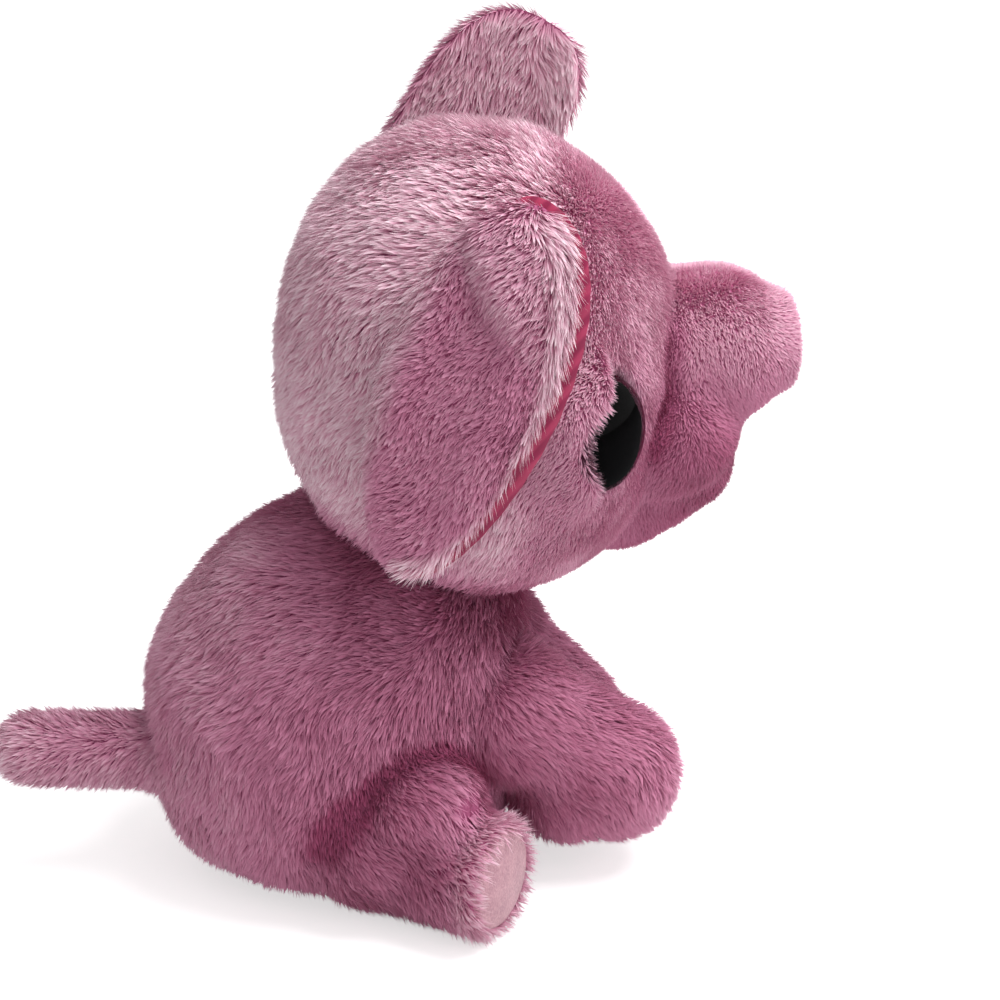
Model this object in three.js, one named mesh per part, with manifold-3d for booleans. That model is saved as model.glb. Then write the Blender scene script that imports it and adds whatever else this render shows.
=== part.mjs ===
// A seated plush elephant: stuffed covers, sewn-on ears, a soft trunk and domed plastic eyes.
// Millimetres, +Z up, the animal looks along -Y, its right side is at -X, and it sits on Z = 0.
import * as THREE from "three";
import { mergeVertices } from "three/addons/utils/BufferGeometryUtils.js";
import Module from "manifold-3d";

const wasm = await Module();
wasm.setup();

// Cloth and seams
const gap = 0.3; // room between two pieces that lie against each other
const sweepGap = 0.8; // room that a limb keeps to its neighbour while it bends
const ballGap = 0.9; // room round a stuffed root in its seat, so that it can turn
const pileWall = 7; // plush wall: backing cloth and standing pile together
const seatFlat = 0.5; // depth by which a form is pressed flat where it sits
const overrun = 30; // how far a cutting solid runs past what it cuts

// Torso: a full, low bag that narrows and leans forward to the neck
const torsoWidth = 114;
const torsoDepth = 121;
const torsoHeight = 128;
const torsoLeanShare = 0.14; // of the depth, forward at the top
const torsoTaperShare = 0.1; // of the width, lost towards the neck
const torsoUpperFullness = 1.95; // exponent of its round outline above the middle
const torsoLowerFullness = 3.8; // and below it, where the filling spreads
const pelletBagDiameter = 56;
const pelletBagThickness = 34;
const bagBackShare = 0.2; // of half the torso depth, behind the middle
const bagSettle = 5; // how far the loose bag spreads flat on the cover

// Neck: the seam ring between head and torso, and the stuffing that passes through it
const neckTilt = 22; // degrees, the seam's plane tips forward
const neckForwardShare = 0.41; // of half the torso depth
const neckHeightShare = 0.72; // of half the torso height, above its middle
const neckBallDiameter = 46;
const neckGap = 0.6; // room round the stuffing, so that it can turn
const headNodLimit = 9; // degrees, each way

// Head: a tall round form with full cheeks
const headWidth = 130;
const headDepth = 124;
const headHeight = 146;
const headSeatShare = 0.79; // of half the head height, from the neck to its middle
const cheekShare = 0.04; // of the width, gained at the cheeks
const crownShare = 0.07; // of the depth, lost at the crown
const crownBackShare = 0.02; // of the depth, the crown set back
const faceTaperShare = 0.26; // of the width, lost towards the muzzle
const faceTaperCurve = 1.5; // exponent of that narrowing
const headFullness = 2.25;

// Muzzle and trunk
const muzzleWidth = 70;
const muzzleDepth = 56;
const muzzleHeight = 52;
const muzzleReach = 20; // in front of the head
const muzzleDropShare = 0.32; // of half the head height, below its middle
const trunkBaseDiameter = 50;
const trunkRootDiameter = 36;
const trunkTipDiameter = 32;
const trunkBallDiameter = 32; // stuffed root inside the muzzle
const trunkDropShare = 0.01; // of half the head height, its axis below the head's middle
const trunkPivotReach = 17; // in front of the head
const trunkLength = 18; // from its bending point to its flat end
const trunkEdge = 4; // rounding of the flat end
const trunkBendLimit = 12; // degrees, each way

// Eyes: a clear dome over a glittering ring and a black pupil, on a stalk with a lock washer
const eyeDiameter = 34;
const eyeBulge = 9;
const eyeSinkShare = 0.17; // of the eye diameter, its back below the cover's surface
const eyeSiteTurn = 63; // degrees outwards from straight ahead, where it sits on the head
const eyeTurn = 46; // degrees outwards, where it looks
const eyeLift = 2; // degrees upwards
const eyeDropShare = 0.1; // of half the head height
const eyeBackThickness = 1.6;
const irisThickness = 0.5;
const pupilShare = 0.74; // of the eye diameter
const pupilThickness = 0.5;
const eyeRimWidth = 1;
const eyeStalkDiameter = 6;
const eyeStalkLength = 15;
const eyeWasherDiameter = 20;
const eyeWasherThickness = 2;
const eyeGrip = 2; // backing cloth held between the eye and its washer

// Ears: a plush back and a satin lining, cupped forward
const earHeight = 118;
const earReach = 37; // beyond its root
const earThickness = 10;
const earLiningThickness = 1.2;
const earLiningShareRight = 0.93; // of the ear's outline
const earLiningShareLeft = 0.66; // this ear's broad hem rolls over its front
const earLiningDropRight = 0; // how far the lining's middle lies below the ear's
const earLiningDropLeft = 14;
const earCup = 13; // how deep the flap is dished
const earBeadDiameter = 9; // gathered root sewn into the head's side
const earBeadLength = 40;
const earTuck = 10; // how far the flap runs back past its root before the head cuts it
const earTopShare = 0.14; // how much wider the flap is at its top
const earCurlShare = 0.5; // of the dish, at the top and bottom of the flap
const earRootBackShare = 0.48; // of half the head depth, root behind the head's middle
const earRootLiftShare = 0.25; // of half the head height, root above the head's middle
const earFoldBack = 18; // degrees
const earRootOut = 3; // the root stands this far out of the head's side
const earFoldForward = 5; // degrees, the head's side soon stops it
const earForwardRight = 50; // degrees, the flap turned forward from straight out
const earForwardLeft = 75; // degrees, this floppy ear stands up along the head's side
const earLeanRight = 21; // degrees, the root's top tips forward
const earLeanLeft = 31; // degrees
const earRiseRight = 0; // how far the flap is pushed up along its root
const earRiseLeft = 28;

// Front legs: short, thick and rounded, reaching forward and down to the floor
const frontLegRootDiameter = 46;
const frontLegPawDiameter = 48;
const frontLegLength = 64; // from the shoulder to the paw's end
const frontLegSpread = 52; // between the two shoulders
const frontLegShoulderHeight = 55.5;
const frontLegForwardShare = 0.84; // of half the torso depth
const frontLegSlopeRight = 36; // degrees below level, its paw hangs just above the floor
const frontLegSlopeLeft = 50; // degrees below level, this one hangs lower
const frontLegLift = 25; // degrees

// Rear legs: stout, splayed, with a flat sole
const rearLegRootDiameter = 56;
const rearLegFootDiameter = 41;
const rearLegLength = 43; // from the hip to the sole
const rearLegSpread = 78; // between the two hips
const rearLegForwardShare = 0.13; // of half the torso depth
const rearLegSplay = 40; // degrees outwards from straight ahead
const rearLegOpen = 20; // degrees
const rearLegClose = 4; // degrees
const solePadShare = 0.72; // of the foot's diameter
const soleShare = 0.8; // of the foot's diameter, its flat sole
const solePadThickness = 2;

// Tail
const tailDiameter = 25;
const tailLength = 49; // from its bending point to its tip
const tailRootDiameter = 27;
const tailHeightShare = 0.62; // of half the torso height, above the floor
const tailBackShare = 0.93; // of half the torso depth, behind its middle
const tailRise = 6; // degrees above level
const tailSwing = 25; // degrees, each way

// Fineness of the round forms, as counts
const bodySides = 22;
const bodyRings = 12;
const fillSides = 12;
const fillRings = 7;
const neckSides = 24;
const neckRings = 12;
const limbSides = 14;
const limbRings = 2;
const limbCapRings = 7;
const capRings = 3;
const domeRings = 4;
const earSides = 18;
const earRings = 8;
const smallSides = 14;

// Shares of a stuffed limb's outline
const limbWaistShare = 0.9; // of the root's diameter, beside the seam
const capShare = 0.75; // of the end's radius, length of its rounding
const fillStartShare = 0.6; // of the root's radius, stuffing behind the bending point
const roomyShare = 1.08; // of a ball's diameter, its seat in the stuffing

const radians = THREE.MathUtils.degToRad;
const upright = new THREE.Vector3(0, 0, 1);
const forward = new THREE.Vector3(0, -1, 0);
const sideways = new THREE.Vector3(1, 0, 0);

// Solids

function solid(geometry) {
  const bare = geometry.clone();
  bare.deleteAttribute("normal");
  bare.deleteAttribute("uv");
  const merged = mergeVertices(bare, gap / 1000);
  return new wasm.Manifold(new wasm.Mesh({
    numProp: 3,
    vertProperties: merged.attributes.position.array,
    triVerts: new Uint32Array(merged.index.array),
  }));
}

function reshape(geometry, move) {
  const spots = geometry.attributes.position;
  const spot = new THREE.Vector3();
  for (let i = 0; i < spots.count; i++) {
    spot.fromBufferAttribute(spots, i);
    move(spot);
    spots.setXYZ(i, spot.x, spot.y, spot.z);
  }
  return geometry;
}

// A round solid with its axis up, ready to be reshaped from radius 1.
function ball(sides, rings) {
  return new THREE.SphereGeometry(1, sides, rings).rotateX(Math.PI / 2);
}

function sphereAt(centre, diameter, sides, rings, axis = upright) {
  const radius = diameter / 2;
  const turn = new THREE.Quaternion().setFromUnitVectors(upright, axis);
  return solid(ball(sides, rings).scale(radius, radius, radius)
    .applyQuaternion(turn).translate(centre.x, centre.y, centre.z));
}

// A fuller ball: its outline is a superellipse, so the middle stays wide for longer.
function fullBall(spot, fullness) {
  const ring = Math.hypot(spot.x, spot.y);
  if (ring === 0) return;
  const fuller = Math.pow(Math.max(0, 1 - Math.pow(Math.abs(spot.z), fullness)), 1 / fullness);
  spot.x *= fuller / ring;
  spot.y *= fuller / ring;
}

// Turns a solid's own +Y axis to a direction and moves it to a point.
function along(geometry, from, direction) {
  const turn = new THREE.Quaternion().setFromUnitVectors(new THREE.Vector3(0, 1, 0), direction);
  return geometry.applyQuaternion(turn).translate(from.x, from.y, from.z);
}

// A turned solid on an axis; the profile's points are [radius, distance from the start].
function turned(profile, from, direction, sides) {
  const points = profile.map(([radius, distance]) => new THREE.Vector2(radius, distance));
  return solid(along(new THREE.LatheGeometry(points, sides), from, direction));
}

function roundBar(diameter, start, end, from, direction, sides) {
  const radius = diameter / 2;
  return turned([[0, start], [radius, start], [radius, end], [0, end]], from, direction, sides);
}

// The same solid turned about a line through a pivot.
function turnedAbout(shape, pivot, axis, degrees) {
  const turn = new THREE.Matrix4().makeRotationAxis(axis, radians(degrees));
  const whole = new THREE.Matrix4().makeTranslation(pivot.x, pivot.y, pivot.z)
    .multiply(turn)
    .multiply(new THREE.Matrix4().makeTranslation(-pivot.x, -pivot.y, -pivot.z));
  return shape.transform(whole.elements);
}

// What a moving form may fill: clear of its neighbour at every angle of its range.
function clearOf(shape, neighbour, pivot, axis, angles) {
  return angles.reduce((left, angle) => left.subtract(turnedAbout(neighbour, pivot, axis, -angle)), shape);
}

function mirrored(shape) {
  return shape.transform(new THREE.Matrix4().makeScale(-1, 1, 1).elements);
}

// Torso

const torsoMiddle = new THREE.Vector3(0, 0, torsoHeight / 2 - seatFlat);

function torsoForm(inset, sides, rings) {
  const shape = reshape(ball(sides, rings), (spot) => {
    fullBall(spot, spot.z > 0 ? torsoUpperFullness : torsoLowerFullness);
    const narrowing = 1 - torsoTaperShare * spot.z;
    const lean = torsoLeanShare * torsoDepth * Math.max(0, spot.z);
    spot.x *= (torsoWidth / 2 - inset) * narrowing;
    spot.y = spot.y * (torsoDepth / 2 - inset) - lean;
    spot.z *= torsoHeight / 2 - inset;
  });
  return solid(shape.translate(torsoMiddle.x, torsoMiddle.y, torsoMiddle.z));
}

// Neck

const neck = new THREE.Vector3(
  0,
  -neckForwardShare * torsoDepth / 2,
  torsoMiddle.z + neckHeightShare * torsoHeight / 2,
);
const neckAxis = new THREE.Vector3(0, -Math.sin(radians(neckTilt)), Math.cos(radians(neckTilt)));

// The space on one side of the neck seam: a wide flat cone, so that the head can nod.
function neckSide(direction) {
  const radius = torsoHeight + headHeight;
  const opening = radius * Math.tan(radians(headNodLimit) / 2) + gap;
  return turned([[0, gap / 2], [radius, opening], [radius, radius], [0, radius]], neck, direction, smallSides);
}

// Head

const headMiddle = neck.clone().addScaledVector(neckAxis, headSeatShare * headHeight / 2);

function headForm(inset, sides, rings) {
  const shape = reshape(ball(sides, rings), (spot) => {
    fullBall(spot, headFullness);
    const cheeks = 1 - cheekShare * spot.z;
    const face = 1 - faceTaperShare * Math.pow(Math.max(0, -spot.y), faceTaperCurve);
    const crown = 1 - crownShare * Math.pow(Math.max(0, spot.z), 2);
    spot.x *= (headWidth / 2 - inset) * cheeks * face;
    spot.y = spot.y * (headDepth / 2 - inset) * crown + crownBackShare * headDepth * Math.max(0, spot.z);
    spot.z *= headHeight / 2 - inset;
  });
  return solid(shape.translate(headMiddle.x, headMiddle.y, headMiddle.z));
}

const headFront = headMiddle.y - headDepth / 2;

// Limbs

// The outline of a stuffed limb beyond its root: a slight waist, a swell and a rounded or flat end.
function limbOutline(limb, inset, start) {
  const end = limb.endDiameter / 2 - inset;
  const tip = limb.length - inset;
  const waist = limb.waistDiameter / 2 - inset;
  const capPoints = limb.flatShare ? flatCap(end, tip, limb.flatShare) : roundCap(end, tip);
  const side = new THREE.SplineCurve([
    new THREE.Vector2(waist, 0),
    new THREE.Vector2((waist + end) / 2, (tip - end) / 2),
    new THREE.Vector2(end, tip - end * capShare),
  ]);
  const points = [[0, start], [waist, start]];
  side.getPoints(limbRings).forEach((spot) => points.push([spot.x, spot.y]));
  return [...points, ...capPoints, [0, tip]];
}

function roundCap(end, tip) {
  const points = [];
  for (let i = 1; i < capRings; i++) {
    const angle = (i / capRings) * Math.PI / 2;
    points.push([end * Math.cos(angle), tip - end * capShare * (1 - Math.sin(angle))]);
  }
  return points;
}

function flatCap(end, tip, flatShare) {
  const points = [];
  for (let i = 1; i <= capRings; i++) {
    const angle = (i / capRings) * Math.PI / 2;
    const radius = end * (flatShare + (1 - flatShare) * Math.cos(angle));
    points.push([radius, tip - end * capShare * (1 - Math.sin(angle))]);
  }
  return points;
}

function limbForm(limb, inset, start, sides) {
  return turned(limbOutline(limb, inset, start), limb.start, limb.direction, sides);
}

// The round seat in a neighbour for a limb's root; the one in the stuffing is coarser and roomier.
function seatOf(limb) {
  return sphereAt(limb.pivot, limb.rootDiameter + ballGap * 2, limbSides, limbCapRings, limb.axis);
}

function roomySeatOf(limb) {
  return sphereAt(limb.pivot, limb.rootDiameter * roomyShare, fillSides, fillRings);
}

// Cover and stuffing of a limb that bends about its pivot beside a larger form.
function stuffedLimb(limb, neighbour, grounded) {
  const root = sphereAt(limb.pivot, limb.rootDiameter, limbSides, limbCapRings, limb.axis);
  const whole = limbForm(limb, 0, 0, limbSides).add(root);
  let outer = clearOf(whole, neighbour, limb.pivot, limb.axis, limb.angles).add(root);
  if (grounded) outer = outer.subtract(floor);
  const fillStart = -limb.rootDiameter / 2 * fillStartShare;
  const fill = limbForm(limb, pileWall + gap * 2, fillStart, fillSides);
  return {
    cover: outer.subtract(limbForm(limb, pileWall, -limb.rootDiameter, fillSides)),
    fill: clearOf(fill, neighbour, limb.pivot, limb.axis, limb.angles).add(fill.intersect(root)),
  };
}

const floor = solid(new THREE.BoxGeometry(torsoHeight * 4, torsoHeight * 4, overrun)
  .translate(0, 0, -overrun / 2));

function frontLeg(slopeDegrees) {
  const slope = radians(slopeDegrees);
  const pivot = new THREE.Vector3(
    -frontLegSpread / 2,
    -frontLegForwardShare * torsoDepth / 2,
    frontLegShoulderHeight,
  );
  return {
    rootDiameter: frontLegRootDiameter,
    waistDiameter: frontLegRootDiameter * limbWaistShare,
    endDiameter: frontLegPawDiameter,
    length: frontLegLength,
    direction: new THREE.Vector3(0, -Math.cos(slope), -Math.sin(slope)),
    pivot,
    start: pivot,
    axis: sideways,
    angles: [0, -frontLegLift / 2, -frontLegLift],
  };
}

function rearLeg() {
  const splay = radians(rearLegSplay);
  const pivot = new THREE.Vector3(
    -rearLegSpread / 2,
    -rearLegForwardShare * torsoDepth / 2,
    rearLegRootDiameter / 2 - seatFlat,
  );
  return {
    rootDiameter: rearLegRootDiameter,
    waistDiameter: rearLegFootDiameter,
    endDiameter: rearLegFootDiameter,
    length: rearLegLength,
    flatShare: soleShare,
    direction: new THREE.Vector3(-Math.sin(splay), -Math.cos(splay), 0),
    pivot,
    start: pivot.clone().setZ(rearLegFootDiameter / 2 - seatFlat),
    axis: upright,
    angles: [-rearLegOpen, 0, rearLegClose],
  };
}

function tail() {
  const rise = radians(tailRise);
  const pivot = new THREE.Vector3(0, tailBackShare * torsoDepth / 2, tailHeightShare * torsoHeight / 2);
  return {
    rootDiameter: tailRootDiameter,
    waistDiameter: tailRootDiameter * limbWaistShare,
    endDiameter: tailDiameter,
    length: tailLength,
    direction: new THREE.Vector3(0, Math.cos(rise), Math.sin(rise)),
    pivot,
    start: pivot,
    axis: upright,
    angles: [-tailSwing, 0, tailSwing],
  };
}

// Sole pad, let into the flat end of a rear foot
function solePad(limb, extra) {
  const radius = solePadShare * limb.endDiameter / 2 + extra;
  const back = limb.length - solePadThickness - extra;
  return roundBar(radius * 2, back, extra > 0 ? limb.length + overrun : limb.length,
    limb.start, limb.direction, smallSides);
}

// Muzzle and trunk

const trunkPivot = new THREE.Vector3(
  0,
  headFront - trunkPivotReach,
  headMiddle.z - trunkDropShare * headHeight / 2,
);
function muzzleForm(inset) {
  const half = [muzzleWidth / 2 - inset, muzzleDepth / 2 - inset, muzzleHeight / 2 - inset];
  const mouth = solid(ball(limbSides, limbCapRings).scale(...half).translate(
    0,
    headFront - muzzleReach + muzzleDepth / 2,
    headMiddle.z - muzzleDropShare * headHeight / 2,
  ));
  const base = trunkBaseDiameter / 2 - inset;
  const start = -trunkPivotReach - muzzleDepth / 2;
  const collar = turned([
    [0, start], [base, start], [base, -trunkEdge * 2 - inset], [base - trunkEdge / 3, -trunkEdge - inset],
    [base - trunkEdge, -inset], [0, -inset],
  ], trunkPivot, forward, limbSides);
  return mouth.add(collar);
}

function trunkOutline(inset, start) {
  const root = trunkRootDiameter / 2 - inset;
  const tip = trunkTipDiameter / 2 - inset;
  const end = trunkLength - inset;
  return [
    [0, start], [root, start], [root, trunkEdge], [(root + tip) / 2, end / 2], [tip, end - trunkEdge],
    [tip - trunkEdge / 3, end - trunkEdge / 3], [tip - trunkEdge, end], [0, end],
  ];
}

function trunkCover(muzzle) {
  const root = sphereAt(trunkPivot, trunkBallDiameter, limbSides, limbCapRings, sideways);
  const sleeve = turned(trunkOutline(0, 0), trunkPivot, forward, limbSides);
  const bore = turned(trunkOutline(pileWall, -trunkBallDiameter), trunkPivot, forward, fillSides);
  const angles = [-trunkBendLimit, 0, trunkBendLimit];
  return clearOf(sleeve, muzzle, trunkPivot, sideways, angles).add(root).subtract(bore);
}

function trunkFill() {
  const start = -trunkBallDiameter / 2 * fillStartShare;
  return turned(trunkOutline(pileWall + gap, start), trunkPivot, forward, fillSides);
}

// Eyes, on the right side of the head; the other is its mirror image

const eye = (() => {
  const turn = radians(eyeTurn);
  const lift = radians(eyeLift);
  const normal = new THREE.Vector3(
    -Math.sin(turn) * Math.cos(lift), -Math.cos(turn) * Math.cos(lift), Math.sin(lift),
  );
  const site = radians(eyeSiteTurn);
  const face = 1 - faceTaperShare * Math.pow(Math.cos(site), faceTaperCurve);
  const place = new THREE.Vector3(
    -headWidth / 2 * Math.sin(site) * face,
    -headDepth / 2 * Math.cos(site),
    -eyeDropShare * headHeight / 2,
  );
  return { normal, back: headMiddle.clone().add(place).addScaledVector(normal, -eyeSinkShare * eyeDiameter) };
})();

function eyeBar(diameter, start, end) {
  return roundBar(diameter, start, end, eye.back, eye.normal, smallSides);
}

const irisStart = eyeBackThickness + gap;
const pupilStart = irisStart + irisThickness + gap;
const lensStart = pupilStart + pupilThickness + gap;
const washerEnd = -eyeGrip - gap * 2;

function eyePieces() {
  const radius = eyeDiameter / 2;
  const dome = [[0, lensStart], [radius, lensStart]];
  for (let i = 0; i < domeRings; i++) {
    const angle = (i / domeRings) * Math.PI / 2;
    dome.push([radius * Math.cos(angle), lensStart + eyeRimWidth + eyeBulge * Math.sin(angle)]);
  }
  dome.push([0, lensStart + eyeRimWidth + eyeBulge]);
  return {
    eye_back: eyeBar(eyeDiameter - eyeRimWidth, 0, eyeBackThickness)
      .add(eyeBar(eyeStalkDiameter, -eyeStalkLength, eyeBackThickness / 2)),
    eye_iris: eyeBar(eyeDiameter - eyeRimWidth * 2, irisStart, irisStart + irisThickness),
    eye_pupil: eyeBar(eyeDiameter * pupilShare, pupilStart, pupilStart + pupilThickness),
    eye_lens: turned(dome, eye.back, eye.normal, smallSides),
    eye_washer: eyeBar(eyeWasherDiameter, washerEnd - eyeWasherThickness, washerEnd)
      .subtract(eyeBar(eyeStalkDiameter + gap * 2, -overrun, overrun)),
  };
}

// What an eye takes out of the head's cover and out of its stuffing
const eyeSocket = eyeBar(eyeDiameter + gap * 2, -gap, overrun)
  .add(eyeBar(eyeStalkDiameter + gap * 2, -overrun / 2, overrun))
  .add(eyeBar(eyeWasherDiameter + gap * 2, -overrun / 2, -eyeGrip - gap));
const washerPocket = eyeBar(eyeWasherDiameter + gap * 2, washerEnd - eyeWasherThickness - gap, overrun)
  .add(eyeBar(eyeStalkDiameter + gap * 2, -eyeStalkLength - gap, overrun));

// Ears, in a frame of their own: +X out along the flap, +Y to the face, +Z up the sewn root

function earFrame(pose) {
  const back = earRootBackShare * headDepth / 2;
  const place = new THREE.Vector3(
    -headWidth / 2 * Math.sqrt(1 - earRootBackShare * earRootBackShare) - earRootOut,
    headMiddle.y + back,
    headMiddle.z + earRootLiftShare * headHeight / 2,
  );
  const turn = new THREE.Matrix4().makeRotationX(radians(pose.lean))
    .multiply(new THREE.Matrix4().makeRotationZ(Math.PI + radians(pose.forward)));
  const up = upright.clone().transformDirection(turn);
  return { place, up, rise: pose.rise, whole: new THREE.Matrix4().makeTranslation(place.x, place.y, place.z).multiply(turn) };
}

// A flat round flap, dished forward; its front lies at `front` and its back domes behind it.
function earSheet(frame, share, drop, front, thickness) {
  const halfReach = (earReach + earTuck) / 2;
  const shape = reshape(new THREE.SphereGeometry(1, earSides, earRings), (spot) => {
    const depth = spot.y > 0 ? 0 : spot.y * thickness;
    const up = spot.z * share - drop / (earHeight / 2);
    const out = spot.x * halfReach * share * (1 + earTopShare * up);
    const dish = earCup * (Math.pow((out + halfReach) / (2 * halfReach), 2) + earCurlShare * up * up);
    spot.set(out + halfReach - earTuck, front + depth + dish, up * earHeight / 2 + frame.rise);
  });
  return solid(shape.applyMatrix4(frame.whole));
}

function earBead(frame, diameter, length) {
  const start = frame.place.clone().addScaledVector(frame.up, -length / 2);
  return roundBar(diameter, 0, length, start, frame.up, smallSides);
}

// The lining starts outside the gathered root.
function beyondRoot(frame) {
  return solid(new THREE.BoxGeometry(earReach * 2, earHeight, earHeight * 2)
    .translate(earReach + earBeadDiameter / 2 + gap, 0, 0).applyMatrix4(frame.whole));
}

function earPieces(pose) {
  const frame = earFrame(pose);
  const angles = [-earFoldBack, 0, earFoldForward];
  const near = headForm(-sweepGap, bodySides, bodyRings);
  const flap = clearOf(earSheet(frame, 1, 0, 0, earThickness), near, frame.place, frame.up, angles);
  const front = gap + earLiningThickness;
  const lining = earSheet(frame, pose.liningShare, pose.liningDrop, front, earLiningThickness)
    .intersect(beyondRoot(frame));
  return {
    ear_back: flap.add(earBead(frame, earBeadDiameter, earBeadLength)),
    ear_lining: clearOf(lining, near, frame.place, frame.up, angles),
    groove: earBead(frame, earBeadDiameter + gap * 2, earBeadLength + gap * 2),
    frame,
  };
}

// Materials, one for each finish

function finish(color, roughness, metalness) {
  return () => new THREE.MeshStandardMaterial({ color, roughness, metalness });
}

const plush = finish("#d08ea6", 0.95, 0);
const shortPlush = finish("#cf86a4", 0.9, 0);
const velour = finish("#c98f9b", 0.9, 0);
const satin = finish("#c73a66", 0.35, 0);
const stuffing = finish("#f2efe9", 1, 0);
const pelletCloth = finish("#e4ded4", 0.9, 0);
const clearPlastic = finish("#cfd4d6", 0.05, 0);
const blackPlastic = finish("#0a090a", 0.2, 0);
const glitter = finish("#7a1f45", 0.3, 0.4);
const whitePlastic = finish("#e9e6e0", 0.5, 0);

// Assembly: nested groups, each at the point about which it moves

function groupAt(parent, point, parentPoint) {
  const group = new THREE.Group();
  group.position.copy(point).sub(parentPoint);
  group.userData.origin = point.clone();
  parent.add(group);
  return group;
}

function addPiece(group, name, shape, material) {
  const made = shape.getMesh();
  const geometry = new THREE.BufferGeometry();
  geometry.setAttribute("position", new THREE.BufferAttribute(Float32Array.from(made.vertProperties), 3));
  geometry.setIndex(new THREE.BufferAttribute(Uint32Array.from(made.triVerts), 1));
  const origin = group.userData.origin;
  geometry.translate(-origin.x, -origin.y, -origin.z);
  geometry.computeVertexNormals();
  const mesh = new THREE.Mesh(geometry, material());
  mesh.name = name;
  group.add(mesh);
}

const elephant = new THREE.Group();
elephant.name = "plush_elephant";
const ground = new THREE.Vector3();
const torsoGroup = groupAt(elephant, ground, ground);
const neckGroup = groupAt(torsoGroup, neck, ground);
const headGroup = groupAt(neckGroup, neck, neck);

const frontLegShapes = { right: frontLeg(frontLegSlopeRight), left: frontLeg(frontLegSlopeLeft) };
const rearLegShape = rearLeg();
const tailShape = tail();
const sides = [["right", (shape) => shape], ["left", mirrored]];
const earPoses = {
  right: {
    forward: earForwardRight, lean: earLeanRight, rise: earRiseRight,
    liningShare: earLiningShareRight, liningDrop: earLiningDropRight,
  },
  left: {
    forward: earForwardLeft, lean: earLeanLeft, rise: earRiseLeft,
    liningShare: earLiningShareLeft, liningDrop: earLiningDropLeft,
  },
};
const ears = Object.fromEntries(sides.map(([side]) => [side, earPieces(earPoses[side])]));

const torsoSpace = neckSide(neckAxis.clone().negate());
const headSpace = neckSide(neckAxis);
const neckBall = sphereAt(neck, neckBallDiameter, neckSides, neckRings);
const neckSeat = sphereAt(neck, neckBallDiameter + neckGap * 2, neckSides, neckRings);
const roomyNeckSeat = sphereAt(neck, neckBallDiameter * roomyShare, fillSides, fillRings);
const seatsBy = (seat) => [frontLegShapes.right, rearLegShape]
  .flatMap((limb) => [seat(limb), mirrored(seat(limb))])
  .concat(seat(tailShape));
const limbSeats = seatsBy(seatOf);
const roomySeats = seatsBy(roomySeatOf);
const bagMiddle = new THREE.Vector3(0, bagBackShare * torsoDepth / 2, pileWall + pelletBagThickness / 2 - bagSettle);

function pelletBag(extra) {
  const half = (size) => size / 2 + extra;
  return solid(ball(fillSides, fillRings)
    .scale(half(pelletBagDiameter), half(pelletBagDiameter), half(pelletBagThickness))
    .translate(bagMiddle.x, bagMiddle.y, bagMiddle.z));
}

function without(shape, cutters) {
  return cutters.reduce((left, cutter) => left.subtract(cutter), shape);
}

function addTorso() {
  const room = torsoForm(pileWall, fillSides, fillRings);
  const inside = torsoForm(pileWall + gap * 2, fillSides, fillRings).intersect(torsoSpace);
  const outer = torsoForm(0, bodySides, bodyRings).subtract(floor).intersect(torsoSpace);
  addPiece(torsoGroup, "torso_cover", without(outer, [room, neckSeat, ...limbSeats]), plush);
  addPiece(torsoGroup, "torso_fill", without(inside, [roomyNeckSeat, ...roomySeats, pelletBag(gap)]), stuffing);
  addPiece(torsoGroup, "pellet_bag", without(inside.intersect(pelletBag(0)), roomySeats), pelletCloth);
  addPiece(neckGroup, "neck_fill", neckBall, stuffing);
}

function addHead() {
  const muzzleSeat = sphereAt(trunkPivot, trunkBallDiameter + ballGap * 2, limbSides, limbCapRings, sideways);
  const cuts = [muzzleSeat, eyeSocket, mirrored(eyeSocket), ears.right.groove, mirrored(ears.left.groove)];
  const outer = headForm(0, bodySides, bodyRings).intersect(headSpace);
  const inside = headForm(pileWall + gap * 2, fillSides, fillRings).intersect(headSpace);
  const room = headForm(pileWall, fillSides, fillRings);
  addPiece(headGroup, "head_cover", without(outer, [room, neckSeat, ...cuts]), plush);
  addPiece(headGroup, "head_fill",
    without(inside, [roomyNeckSeat, washerPocket, mirrored(washerPocket), ears.right.groove, mirrored(ears.left.groove)]),
    stuffing);
  const near = headForm(-gap, bodySides, bodyRings);
  const muzzle = without(muzzleForm(0), [near]);
  addPiece(headGroup, "muzzle_cover", without(muzzle, [muzzleForm(pileWall), muzzleSeat]), shortPlush);
  addPiece(headGroup, "muzzle_fill", without(muzzleForm(pileWall + gap), [near, muzzleSeat]), stuffing);
  const trunkGroup = groupAt(headGroup, trunkPivot, neck);
  addPiece(trunkGroup, "trunk_cover", trunkCover(muzzleForm(-sweepGap)), shortPlush);
  addPiece(trunkGroup, "trunk_fill", trunkFill(), stuffing);
}

function addEyes() {
  const looks = {
    eye_back: blackPlastic, eye_iris: glitter, eye_pupil: blackPlastic,
    eye_lens: clearPlastic, eye_washer: whitePlastic,
  };
  for (const [side, place] of sides)
    for (const [name, shape] of Object.entries(eyePieces()))
      addPiece(headGroup, `${name}_${side}`, place(shape), looks[name]);
}

function addEars() {
  for (const [side, place] of sides) {
    const ear = ears[side];
    const pivot = ear.frame.place.clone();
    if (side === "left") pivot.x = -pivot.x;
    const group = groupAt(headGroup, pivot, neck);
    addPiece(group, `ear_back_${side}`, place(ear.ear_back), plush);
    addPiece(group, `ear_lining_${side}`, place(ear.ear_lining), satin);
  }
}

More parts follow.
